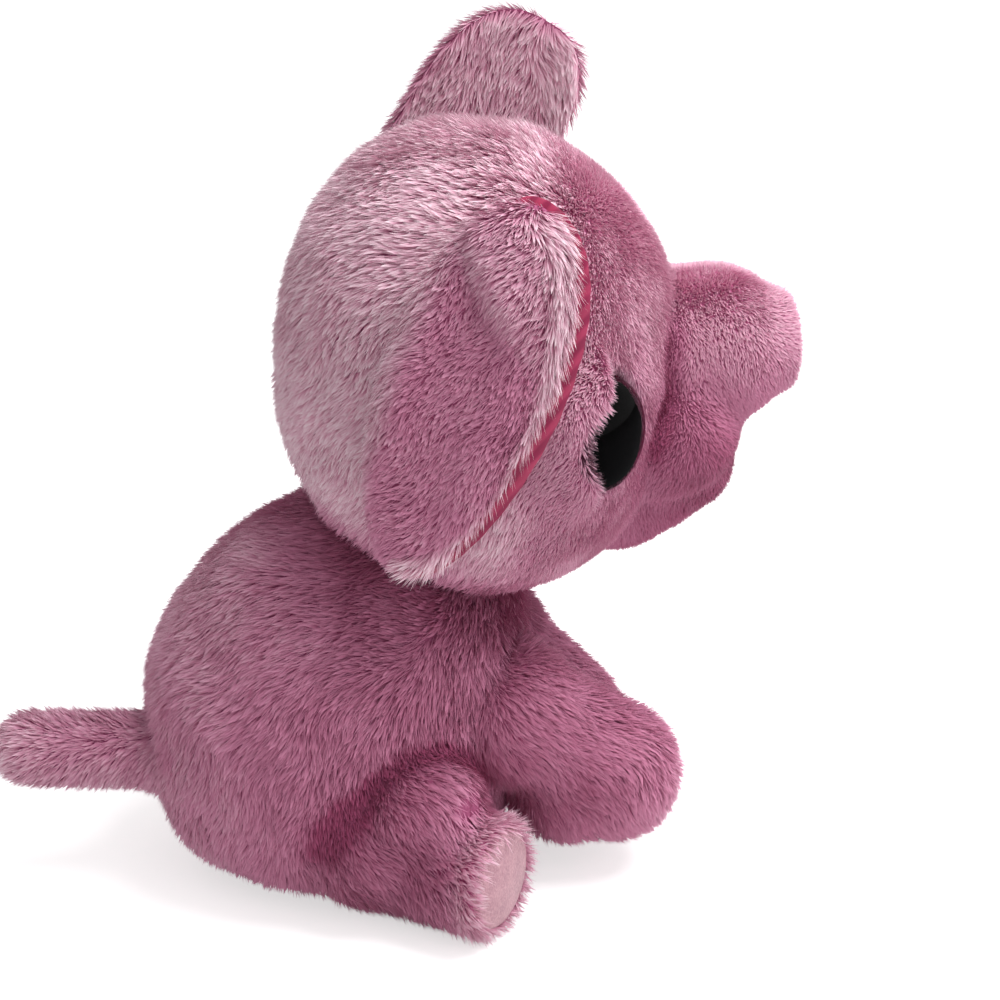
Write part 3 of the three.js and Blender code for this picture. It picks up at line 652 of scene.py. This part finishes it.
def eyeFrame(side):
    # the middle of the eye's back, the way it looks, and the way to its front edge
    turn, lift, site = (radians(eye[name]) for name in ("turn", "lift", "site"))
    looks = Vector((sides[side] * sin(turn) * cos(lift), -cos(turn) * cos(lift), sin(lift)))
    face = 1 - head["taper"] * cos(site) ** head["curve"]
    place = head["middle"] + Vector((sides[side] * head["width"] / 2 * sin(site) * face,
                                     -head["depth"] / 2 * cos(site), -eye["drop"]))
    return place - looks * eye["sink"] * eye["diameter"], looks, tangent(Vector((0, -1, -0.05)), looks)


eyes = {side: eyeFrame(side) for side in sides}


def eyePlace(point, side):
    # how high a point is over the eye's back, its offset from the axis, how far ahead it is, and the pocket's
    # radius there
    back, looks, ahead = eyes[side]
    offset = point - back
    height = offset.dot(looks)
    flat = offset - looks * height
    front = flat.dot(ahead)
    pocket = eye["frontPocket"] + (eye["rearPocket"] - eye["frontPocket"]) * ease(0, 11, -front)
    return height, flat, front, pocket


def sinkEyes(mesh):
    # the cloth dips into a pocket behind each eye, and lies over the eye's rear edge
    for vertex in mesh.vertices:
        point = vertex.co / mm
        side = sideOf(point)
        height, flat, front, pocket = eyePlace(point, side)
        if height > -8:
            around = flat.length
            sunk = 1 - ease(pocket - 1, pocket + 1.5, around)
            lip = ease(0, 9, -front) * ease(pocket - 0.5, pocket + 2, around)
            lip *= 1 - ease(pocket + 5, pocket + 15, around)
            vertex.co += eyes[side][1] * (eye["lip"] * lip - (height + 1.5) * sunk) * mm
    mesh.update()


def headRule(point, normal):
    face = faceShare(point)
    crown = ease(212, 232, point.z)
    way = tangent(Vector((0, 0.8, -0.75 + 0.9 * crown)), normal)
    shade = 0.62 + 0.34 * (1 - face) * ease(95, 150, point.z) + 0.16 * face * ease(150, 190, point.z)
    shade += 0.08 * wobble(point, 12, 7) + 0.1 * wobble(point, 5, 7) * (1 - face)
    length = head["pile"] + (head["facePile"] - head["pile"]) * face
    lay, share = 1.5 - 0.5 * face, 1.0
    side = sideOf(point)
    height, flat, front, pocket = eyePlace(point, side)
    if height > -12 and flat.length < pocket + 5:
        share = ease(pocket, pocket + 1, flat.length)
        if front < 0:
            lip = 1 - ease(pocket + 1.5, pocket + 5, flat.length)
            toEye = (eyes[side][2] * 0.8 + eyes[side][1] * 0.5) * lip
            way = tangent(way * (1 - lip), normal) + toEye
            length += 1.2 * lip
            shade += 0.08 * lip
    # painted shade: the tone is darkened on the head's lower part, below the neck line
    lower = (point - neck["pivot"]).dot(neck["axis"])
    shade *= 0.55 + 0.45 * ease(0, 14, lower)
    return length, share, shade, way * lay


cloths["head"] = formedBall("head_cloth", headForm)
rules["head"] = headRule

muzzle = {"half": (35, 28, 26), "middle": Vector((0, -81.2, 139.7)), "collar": 25.4, "inset": 1.4,
          "pile": 2.4, "jowls": [((0, -70, 119), 22), ((0, -80, 122), 20.5), ((0, -91, 125), 17.5)]}
trunk = {"pivot": Vector((0, -106.2, 162.3)), "radius": 16, "end": -124.2, "inset": 1.2, "pile": 2.4,
         "way": Vector((0, -1, 0)), "bend": (-9, 7)}


def muzzleRule(point, normal):
    # painted shade: the muzzle's tone darkens towards its underside
    way = tangent(Vector((0, 0.25, -1)), normal)
    shade = 0.14 + 0.08 * wobble(point, 10, 2) + 0.54 * ease(140, 178, point.z)
    return muzzle["pile"], 1.0, shade, way


def trunkRule(point, normal):
    way = tangent(Vector((0, -0.6, -0.8)), normal)
    shade = 0.64 + 0.2 * ease(145, 170, point.z) + 0.08 * wobble(point, 10, 9)
    return trunk["pile"], 1.0, shade, way


def muzzleCloth():
    # an oval with three jowls under it, and a collar that holds the trunk's root
    pivot, collar = trunk["pivot"], muzzle["collar"] - muzzle["inset"]
    beads = [(muzzle["middle"], [half - muzzle["inset"] for half in muzzle["half"]])]
    beads += [(middle, radius - muzzle["inset"]) for middle, radius in muzzle["jowls"]]
    beads += row(pivot + Vector((0, 44, -1)), pivot + Vector((0, 6, 0)), collar, collar)
    return stuffedTube("muzzle_cloth", beads, smoothing=10)


def trunkCloth():
    # a short cone out of the collar, then an even stub with a flat end
    pivot, tip = trunk["pivot"], trunk["radius"] - trunk["inset"]
    end = Vector((0, trunk["end"], pivot.z))
    beads = row(pivot + Vector((0, 7, 0)), pivot - Vector((0, 9, 0)), muzzle["collar"] - 2.2, tip + 1.5, 8)
    beads += row(pivot - Vector((0, 5, 0)), end, tip, tip, 8)
    return stuffedTube("trunk_cloth", beads, cuts=[(end, trunk["way"])], smoothing=5)


cloths["muzzle"], rules["muzzle"] = muzzleCloth(), muzzleRule
cloths["trunk"], rules["trunk"] = trunkCloth(), trunkRule


# ears: a dished flap of plush, lined with satin

ear = {"place": Vector((60.022, 2.557, 181.301)), "height": 118, "thickness": 10, "cup": 13, "middle": 23.5,
       "out": 13.5, "spreadTop": 0.14, "curl": 0.5, "inset": 2.2, "pile": 5.2, "hemPile": 7.5,
       "blunt": 2.7, "topShare": 1.13, "bulge": 3.2, "hollow": 3.4, "forward": {"right": 50, "left": 75},
       "lean": {"right": 21, "left": 31}, "rise": {"right": 0, "left": 28}}


def earMatrix(side):
    turn = Matrix.Rotation(pi + radians(ear["forward"][side]), 4, "Z")
    lean = Matrix.Rotation(radians(ear["lean"][side]), 4, "X")
    place = Vector((-ear["place"].x, ear["place"].y, ear["place"].z))
    whole = Matrix.Translation(place) @ lean @ turn
    return Matrix.Scale(-1, 4, (1, 0, 0)) @ whole if side == "left" else whole


def earAcross(out):
    # 0 at the ear's root and 1 at its hem
    return (out + ear["middle"]) / (2 * ear["middle"])


def earCrease(across, up):
    # how far up a place lies from the crease that runs down and out over the ear's back
    return up - (0.82 - 0.62 * across)


def earFold(out, up):
    # the ear's back: a bulge at its upper front, a crease below that and a long hollow behind the hem
    across = earAcross(out)
    crease = earCrease(across, up)
    bulge = ear["bulge"] * ease(0, 0.16, crease) * (1 - ease(0.7, 1.0, across))
    hollow = ear["hollow"] * ease(0.2, 0.45, across) * (1 - ease(0.6, 0.85, across))
    return -bulge + hollow * (1 - ease(-0.1, 0.05, crease)) * ease(-0.95, -0.5, up)


def earLocal(v, side):
    # the raised left ear is puffed up: taller, blunt at its top and wider to the front
    half, power, inset = ear["middle"], ear["blunt"], ear["inset"]
    if side == "left" and v.z > 0:
        rim = max(hypot(v.x, v.z), 1e-6)
        blunt = 1 / ((abs(v.x) / rim) ** power + (v.z / rim) ** power) ** (1 / power)
        v = Vector((v.x * blunt, v.y, v.z * blunt * ear["topShare"]))
        v.x += (0.12 * ease(-1, 1, v.x) - 0.08) * ease(0.2, 0.9, v.z)
    up = v.z
    out = v.x * half * (1 + ear["spreadTop"] * up)
    depth = v.y * (ear["thickness"] - inset) if v.y < 0 else 0.0
    if v.y < 0 and side == "right":
        depth += earFold(out, up) * min(1, -v.y * 1.6)
    dish = ear["cup"] * (earAcross(out) ** 2 + ear["curl"] * up * up)
    return Vector((out * (1 - inset / half) + ear["out"], depth + dish,
                   up * (ear["height"] / 2 - inset) + ear["rise"][side]))


def earRule(side):
    matrix = earMatrix(side)
    inverse = matrix.inverted()
    turned = matrix.to_3x3()

    def rule(point, normal):
        local = inverse @ point
        out, up = local.x - ear["out"], (local.z - ear["rise"][side]) / (ear["height"] / 2)
        across = earAcross(out)
        edge = hypot(out / ear["middle"], up)
        hem = ease(0.84, 0.9, edge) * ease(0.45, 0.62, across)
        comb = Vector((0, 0.8, -0.75))
        if hem > 0:
            around = atan2(up, out / ear["middle"])
            down = turned @ Vector((sin(around) * 0.6 + 0.15, 0, -cos(around) - 0.2))
            comb = comb.lerp(down, hem)
        crease = earCrease(across, up)
        # painted shade: the tone is deepened in the valley over the ear's hollow, where the pile is also
        # shorter
        valley = ease(0.08, 0.32, across) * (1 - 0.6 * ease(-0.1, 0.1, crease)) * (1 - hem)
        tone = 0.92 - 0.42 * valley + 0.1 * wobble(point, 9, 3)
        if side == "left":
            valley = 0.0
            tone = 0.92 + 0.2 * wobble(point, 6, 3) - 0.3 * ease(0.8, 0.97, -out / ear["middle"])
        tone += (1 - tone) * hem
        facing = normal.dot(turned @ Vector((0, 1, 0)))
        share = 1 - ease(0.35, 0.8, facing)
        if side == "left":
            share = max(share, ease(0.1, 0.25, up))
        length = ear["pile"] + (ear["hemPile"] - ear["pile"]) * hem - 1.8 * valley
        return length, share * (1 + 0.3 * hem), tone, tangent(comb, normal) * (1.5 - 0.4 * valley)
    return rule


for side in sides:
    matrix = earMatrix(side)
    name = f"ear_{side}"
    cloths[name] = formedBall(f"{name}_cloth", lambda v: matrix @ earLocal(v, side))
    rules[name] = earRule(side)
for cloth in cloths.values():
    cloth.data.materials.clear()
    cloth.data.materials.append(backingMaterial)
print("cloths formed")


# grooming: cloths that meet are combed as one, so that the pile runs on over their seams

def treeOf(piece):
    return BVHTree.FromObject(piece, bpy.context.evaluated_depsgraph_get())


def joined(name, parts, voxel, smoothing):
    bm = bmesh.new()
    for part in parts:
        bm.from_mesh(cloths[part].data)
    piece = addObject(name, meshFrom(bm, name))
    remesh(piece, voxel, smoothing)
    return piece


# the comb wanders by the swirl, skins blend over the spread, and in a crease the pile is short and its tone
# darkened as painted shade
grooming = {"swirl": 0.8, "spread": 4.0, "falloff": 2.718, "creaseShort": 0.35, "creaseReach": (1, 7)}


def groom(skin, parts, neighbours, creases=(), buried=6.0):
    # writes the pile's length, share, shade and comb, and returns which part owns each vertex
    trees = {part: treeOf(cloths[part]) for part in parts}
    deep = [treeOf(cloths[part]) for part in neighbours]
    spread, reach = grooming["spread"], grooming["creaseReach"]
    rows, owners = [], []
    for vertex in skin.data.vertices:
        point, normal = vertex.co / mm, vertex.normal
        gaps = {part: tree.find_nearest(vertex.co)[3] / mm for part, tree in trees.items()}
        owner = min(gaps, key=gaps.get)
        shares = {part: grooming["falloff"] ** (-(gap - gaps[owner]) / spread) for part, gap in gaps.items()
                  if gap < gaps[owner] + 4 * spread}
        whole = sum(shares.values())
        length, share, shade, way = 0.0, 0.0, 0.0, Vector()
        for part, weight in shares.items():
            values = rules[part](point, normal)
            length += values[0] * weight / whole
            share += values[1] * weight / whole
            shade += values[2] * weight / whole
            way += values[3] * weight / whole
        swirl = grooming["swirl"] * (wobble(point, 22, 11) + 0.6 * wobble(point, 9, 13))
        way.rotate(Quaternion(normal, swirl))
        # painted shade: the pile's tone is darkened along the creases between parts
        for first, second, drop, where in creases:
            close = (1 - ease(*reach, gaps[first])) * (1 - ease(*reach, gaps[second])) * where(point)
            shade -= drop * close
            length *= 1 - grooming["creaseShort"] * close
        for tree in deep:
            spot, outward = tree.find_nearest(vertex.co)[:2]
            if (vertex.co - spot).dot(outward) < -buried * mm:
                share = 0.0
        rows.append((length * mm, share, clamp(shade), tuple(way)))
        owners.append(owner)
    for i, attribute in enumerate(("pile", "density", "shade", "comb")):
        writeAttribute(skin.data, attribute, [values[i] for values in rows])
    return owners


bodyParts = ["torso", "front_leg_right", "front_leg_left", "rear_leg_right", "rear_leg_left", "tail"]
faceParts = ["head", "muzzle", "trunk"]
bodySkin = joined("body_skin", bodyParts, 1.8, 5)
headSkin = joined("head_skin", faceParts, 1.6, 3)
sinkEyes(cloths["head"].data)
sinkEyes(headSkin.data)
# painted shade along the creases where the rear legs meet the torso and along the muzzle's seam
haunchCreases = [("torso", f"rear_leg_{side}", 0.6, lambda p: ease(22, 34, p.z) * ease(20, 32, abs(p.x)))
                 for side in sides]
faceCreases = [("head", "muzzle", 0.5, lambda p: ease(132, 146, p.z) * (1 - ease(172, 182, p.z)))]
owners = {"body": groom(bodySkin, bodyParts, ["head"], haunchCreases),
          "head": groom(headSkin, faceParts, ["torso"], faceCreases)}
print("pile groomed")

piles = {part: [] for part in cloths}


def plantRegion(skin, owner, part, kinds, split=None, where=None):
    # the part's own share of the skin, in one piece or split into four round a middle
    regions = {"": lambda p: 1.0}
    if split is not None:
        regions = {f"_{end}_{side}": (lambda p, a=a, b=b: float(p.x * a > 0 and (p.y - split * mm) * b > 0))
                   for end, b in (("front", -1), ("back", 1)) for side, a in sides.items()}
    for region, inside in regions.items():
        def mask(v):
            if owner[v.index] != part:
                return 0.0
            return inside(v.co) * (where(v.co / mm) if where else 1.0)

        for kind in kinds:
            piles[part].append(plantPile(skin, kind, f"{part}_{kind}{region}", mask))


longPile = ("locks", "fibres")
plantRegion(bodySkin, owners["body"], "torso", longPile, split=19)
for part in bodyParts[1:]:
    plantRegion(bodySkin, owners["body"], part, longPile)
plantRegion(headSkin, owners["head"], "head", longPile, -14, lambda p: 1 - faceShare(p))
plantRegion(headSkin, owners["head"], "head", ("short_fibres",), -70, faceShare)
for part in faceParts[1:]:
    plantRegion(headSkin, owners["head"], part, ("short_fibres",))
for side in sides:
    part = f"ear_{side}"
    own = groom(cloths[part], [part], ["head"], buried=3)
    plantRegion(cloths[part], own, part, longPile)
for piece in [bodySkin, headSkin] + list(lockPieces.values()):
    bpy.data.objects.remove(piece)
print("pile planted")


# eyes: a clear dome over a black pupil and a glittering ring, on a black back

def clearPlastic(add):
    # clear moulded polystyrene: smooth and glossy, with faint flow lines
    place = add("ShaderNodeTexCoord").outputs["Object"]
    flow = add("ShaderNodeTexNoise", {0: place, 2: 1 / (5 * mm)})
    haze = add("ShaderNodeMapRange", {"Value": flow, "To Min": 0.02, "To Max": 0.06})
    return {"Base Color": white, "Roughness": haze, "Transmission Weight": 1.0, "IOR": 1.49}


def blackPlastic(add):
    # black moulded plastic: glossy, with a fine moulded grain
    colour = mottle(add, 0.6, 2.0, [(0.4, "#060506"), (0.7, "#0d0b0c")])[1]
    return {"Base Color": colour, "Roughness": 0.25, "IOR": 1.5}


def blackLacquer(add):
    # black lacquer cast under the dome: deep and matt, because no air lies in front of it to mirror
    colour = mottle(add, 0.8, 2.0, [(0.4, "#030203"), (0.7, "#080607")])[1]
    return {"Base Color": colour, "Roughness": 0.6, "Specular IOR Level": 0.05}


def glitterFoil(add):
    # magenta glitter foil under the dome: dark, its brightest flakes painted light as painted glints
    place = add("ShaderNodeTexCoord").outputs["Object"]
    flakes = add("ShaderNodeTexVoronoi", {0: place, 2: 1 / (0.45 * mm)})
    pick = add("ShaderNodeSeparateXYZ", {0: flakes.outputs[1]})
    stops = [(0.0, "#4a0d27"), (0.62, "#7c1f47"), (0.86, "#b8406f"), (1.0, "#f0a9c2")]
    return {"Base Color": add("ShaderNodeValToRGB", {0: pick}, stops), "Metallic": 0.55, "Roughness": 0.35}


def turnedPiece(name, profile, side):
    # a closed profile of (radius, height) points in mm spun round the eye's axis
    bm = bmesh.new()
    ring = [bm.verts.new((radius * mm, 0, height * mm)) for radius, height in profile]
    edges = [bm.edges.new(pair) for pair in zip(ring, ring[1:] + ring[:1])]
    bmesh.ops.spin(bm, geom=ring + edges, axis=(0, 0, 1), cent=(0, 0, 0), angle=2 * pi, steps=64,
                   use_merge=True)
    bmesh.ops.remove_doubles(bm, verts=bm.verts, dist=1e-6)
    bmesh.ops.dissolve_degenerate(bm, edges=bm.edges, dist=1e-7)
    back, looks = eyes[side][:2]
    place = Matrix.Translation(back * mm) @ looks.to_track_quat("Z", "Y").to_matrix().to_4x4()
    bmesh.ops.transform(bm, matrix=place, verts=bm.verts)
    bm.normal_update()
    bmesh.ops.recalc_face_normals(bm, faces=bm.faces)
    return addObject(name, meshFrom(bm, name))


# heights over the eye's back in mm; the ring's face and the pupil are cast into the dome's foot, so that no
# air gap mirrors in front of them
eyeStack = {"cupTop": 1.6, "stalk": 3, "stalkFoot": -15, "ringFoot": 1.9, "ringTop": 2.4, "pupilFoot": 2.45,
            "pupilTop": 3.2, "pupilRadius": 12.6, "domeFoot": 2.35, "rimTop": 4.5, "bezel": 0.9,
            "bezelTop": 3.4}
eyePlastics = {"clear": newMaterial("clear moulded polystyrene", clearPlastic),
               "black": newMaterial("black moulded plastic", blackPlastic),
               "lacquer": newMaterial("black lacquer under the dome", blackLacquer),
               "glitter": newMaterial("magenta glitter foil", glitterFoil)}
s, radius = eyeStack, eye["diameter"] / 2
bezel = radius + s["bezel"]
cup = [(0, s["cupTop"]), (radius - 0.7, s["cupTop"]), (radius - 0.5, s["cupTop"] - 0.4), (radius - 0.6, 0.2),
       (radius - 1, 0), (s["stalk"], 0), (s["stalk"], s["stalkFoot"] + 1), (s["stalk"] - 1, s["stalkFoot"]),
       (0, s["stalkFoot"])]
ring = [(0, s["ringFoot"]), (bezel - 0.2, s["ringFoot"]), (bezel, s["ringFoot"] + 0.3),
        (bezel, s["bezelTop"] - 0.4), (bezel - 0.3, s["bezelTop"]), (radius + 0.1, s["bezelTop"]),
        (radius + 0.1, s["ringTop"]), (0, s["ringTop"])]
pupil = [(0, s["pupilFoot"]), (s["pupilRadius"], s["pupilFoot"]), (s["pupilRadius"], s["pupilTop"] - 0.3),
         (s["pupilRadius"] - 0.3, s["pupilTop"]), (0, s["pupilTop"])]
dome = [(0, s["domeFoot"]), (radius - 0.1, s["domeFoot"]), (radius, s["domeFoot"] + 0.2)]
dome += [(radius * cos(i * pi / 32), s["rimTop"] + eye["bulge"] * sin(i * pi / 32)) for i in range(17)]
for side in sides:
    for name, profile, plastic, node, slot in (
            ("eye_cup", cup, "black", "eye_back", "black_plastic"),
            ("eye_glitter_ring", ring, "glitter", "eye_iris", "glitter"),
            ("eye_pupil_disc", pupil, "lacquer", "eye_pupil", "black_plastic"),
            ("eye_dome", dome, "clear", "eye_lens", "clear_plastic")):
        piece = turnedPiece(f"{name}_{side}", profile, side)
        fitPiece(piece, eyePlastics[plastic], "head", f"{node}_{side}")
print("eyes made")


# satin linings and velour soles

def satin(add):
    # polyester satin: a tight weave, glossy along its long floats, which are drawn coarse enough to show and
    # painted lighter along their crests as a painted sheen; a diagonal wave repeats every 0.36 m at scale 1
    place = add("ShaderNodeTexCoord").outputs["Object"]
    floats = add("ShaderNodeTexWave", {0: place, 1: 0.36 / (3.6 * mm), 2: 1.5}, bands_direction="DIAGONAL")
    colour = add("ShaderNodeValToRGB", {0: floats.outputs[1]}, [(0.2, "#9c2350"), (0.8, "#b83a62")])
    bump = add("ShaderNodeBump", {"Height": floats.outputs[1], "Strength": 0.25, "Distance": 0.1 * mm})
    return {"Base Color": colour, "Normal": bump, "Roughness": 0.32, "IOR": 1.5, "Sheen Weight": 0.4}


def velour(add):
    # brushed polyester velour: short dense nap, matt, a little blotched where it is pressed
    nap, fine = mottle(add, 0.7, 4.0, [(0.35, "#a56f7e"), (0.65, "#d9a9b4")])
    ground = mottle(add, 7, 2.0, [(0.35, "#b07a88"), (0.65, "#c993a0")])[1]
    colour = add("ShaderNodeMix", {0: 0.45, 6: ground, 7: fine}, data_type="RGBA")
    bump = add("ShaderNodeBump", {"Height": nap, "Strength": 0.7, "Distance": 0.4 * mm})
    return {"Base Color": colour.outputs[2], "Normal": bump, "Roughness": 0.85, "Sheen Weight": 0.4}


satinMaterial = newMaterial("hot pink polyester satin", satin)
velourMaterial = newMaterial("brushed velour", velour)
lining = {"thickness": 0.5, "proud": 2.9, "front": 0.5, "piping": 0.9, "pucker": 0.35, "puckers": 34,
          "share": {"right": 1.0, "left": 0.55}, "drop": {"right": 0, "left": 22},
          "pipingShare": {"right": 1, "left": 0.3}, "seamAcross": 1.25, "seamAlong": 1.08}


def satinLining(side):
    # the ear's dished front in satin, puckered and piped round its edge
    matrix, share, half = earMatrix(side), lining["share"][side], ear["middle"]

    def satinForm(v):
        around = atan2(v.z, v.x)
        ahead = ease(-0.1, 0.5, v.x) if side == "right" else 0.0
        reach = share * (1 - 0.3 * ease(0.15, -0.5, v.x)) + ahead * lining["proud"] / half
        up = v.z * share - lining["drop"][side] / (ear["height"] / 2)
        out = v.x * half * reach * (1 + ear["spreadTop"] * up)
        edge = hypot(v.x, v.z)
        dish = ear["cup"] * (clamp(earAcross(out), 0, 1.1) ** 2 + ear["curl"] * up ** 2)
        pucker = lining["pucker"] * sin(around * lining["puckers"]) * ease(0.6, 1, edge)
        piping = lining["piping"] * ease(0.9, 0.985, edge) * lining["pipingShare"][side] * 1.2
        depth = dish + lining["front"] + pucker + v.y * (lining["thickness"] / 2 + piping)
        return matrix @ Vector((out + ear["out"], depth, up * ear["height"] / 2 + ear["rise"][side]))

    cloth = formedBall(f"ear_satin_{side}", satinForm)
    fitPiece(cloth, satinMaterial, f"ear_{side}", f"ear_lining_{side}")


pad = {"overlap": 1.06, "thick": 2.4 * mm, "dome": 1.5 * mm, "lowest": 0.5 * mm}


def soleVelour(side):
    # a flat cushion over the leg's end, domed outwards
    low, high = (Vector(corner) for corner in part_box(f"sole_pad_{side}"))
    radius = (high.z - low.z) / 2 * pad["overlap"]
    turn = limbs[f"rear_leg_{side}"]["way"].to_track_quat("Z", "Y").to_matrix().to_4x4()
    bm = bmesh.new()
    bmesh.ops.create_icosphere(bm, subdivisions=5, radius=1)
    for vertex in bm.verts:
        flat = hypot(vertex.co.x, vertex.co.y)
        vertex.co.x *= radius
        vertex.co.y *= radius
        puff = pad["thick"] / 2 + pad["dome"] * (1 - flat ** 2)
        vertex.co.z = clamp(vertex.co.z * 3, -1) * (puff if vertex.co.z > 0 else pad["thick"] / 2)
    bmesh.ops.transform(bm, matrix=Matrix.Translation((low + high) / 2) @ turn, verts=bm.verts)
    for vertex in bm.verts:
        vertex.co.z = max(vertex.co.z, pad["lowest"])
    sole = addObject(f"sole_velour_{side}", meshFrom(bm, "sole"))
    fitPiece(sole, velourMaterial, f"rear_leg_{side}", f"sole_pad_{side}")


for side in sides:
    satinLining(side)
for side in sides:
    soleVelour(side)
print("linings and soles made")


# inside: the CAD's own pieces keep their place and get their real finish

def stuffing(add):
    # polyester stuffing: white, matt and cloudy
    clouds, colour = mottle(add, 4, 6.0, [(0.3, "#dcd9d6"), (0.7, "#f3f1ef")])
    bump = add("ShaderNodeBump", {"Height": clouds, "Strength": 0.8, "Distance": 1 * mm})
    return {"Base Color": colour, "Normal": bump, "Roughness": 0.95}


def pelletCloth(add):
    # plain woven nylon round plastic pellets: pale, with a fine check of threads
    place = add("ShaderNodeTexCoord").outputs["Object"]
    weave = add("ShaderNodeTexChecker", {0: place, 3: 1 / (0.8 * mm)})
    colour = add("ShaderNodeMix", {0: weave.outputs[1], 6: linear("#c9c7c3"), 7: linear("#e2e0dc")},
                 data_type="RGBA")
    return {"Base Color": colour.outputs[2], "Roughness": 0.7}


def washerPlastic(add):
    # natural white nylon, slightly mottled
    colour = mottle(add, 2, 3.0, [(0.4, "#e6e4dd"), (0.6, "#f2f1ec")])[1]
    return {"Base Color": colour, "Roughness": 0.4}


insideFinishes = {"fill": newMaterial("polyester stuffing", stuffing),
                  "pellet_bag": newMaterial("woven nylon pellet bag", pelletCloth),
                  "washer": newMaterial("white nylon washer", washerPlastic)}
for name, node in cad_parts.items():
    for word, finish in insideFinishes.items():
        if word in name:
            node.data.materials.clear()
            node.data.materials.append(finish)


# what each cloth replaces, and the body it rides on or the two bodies at its hinge, with hinge, way and span;
# a cloth with a hinge only has its place baked into its mesh here

carried = {
    "torso": ("torso_cover", "torso", "neck", neck["pivot"], neck["axis"], neck["torsoBend"]),
    "head": ("head_cover", "neck", "head", neck["pivot"], neck["axis"], neck["headBend"]),
    "muzzle": ("muzzle_cover", "head"),
    "trunk": ("trunk_cover", "head", "trunk", trunk["pivot"], trunk["way"], trunk["bend"]),
}
for name, limb in limbs.items():
    cover = "tail_cover" if name == "tail" else name.replace("leg", "leg_cover")
    carried[name] = (cover, "torso", name, limb["pivot"], limb["way"], limb["bend"])
for side in sides:
    carried[f"ear_{side}"] = (f"ear_back_{side}", f"ear_{side}")

for part, (cover, body, *hinge) in carried.items():
    for piece in [cloths[part]] + piles[part]:
        if hinge:
            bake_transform(piece)
        else:
            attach(piece, body)
    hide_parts(cover)
print("pieces carried")
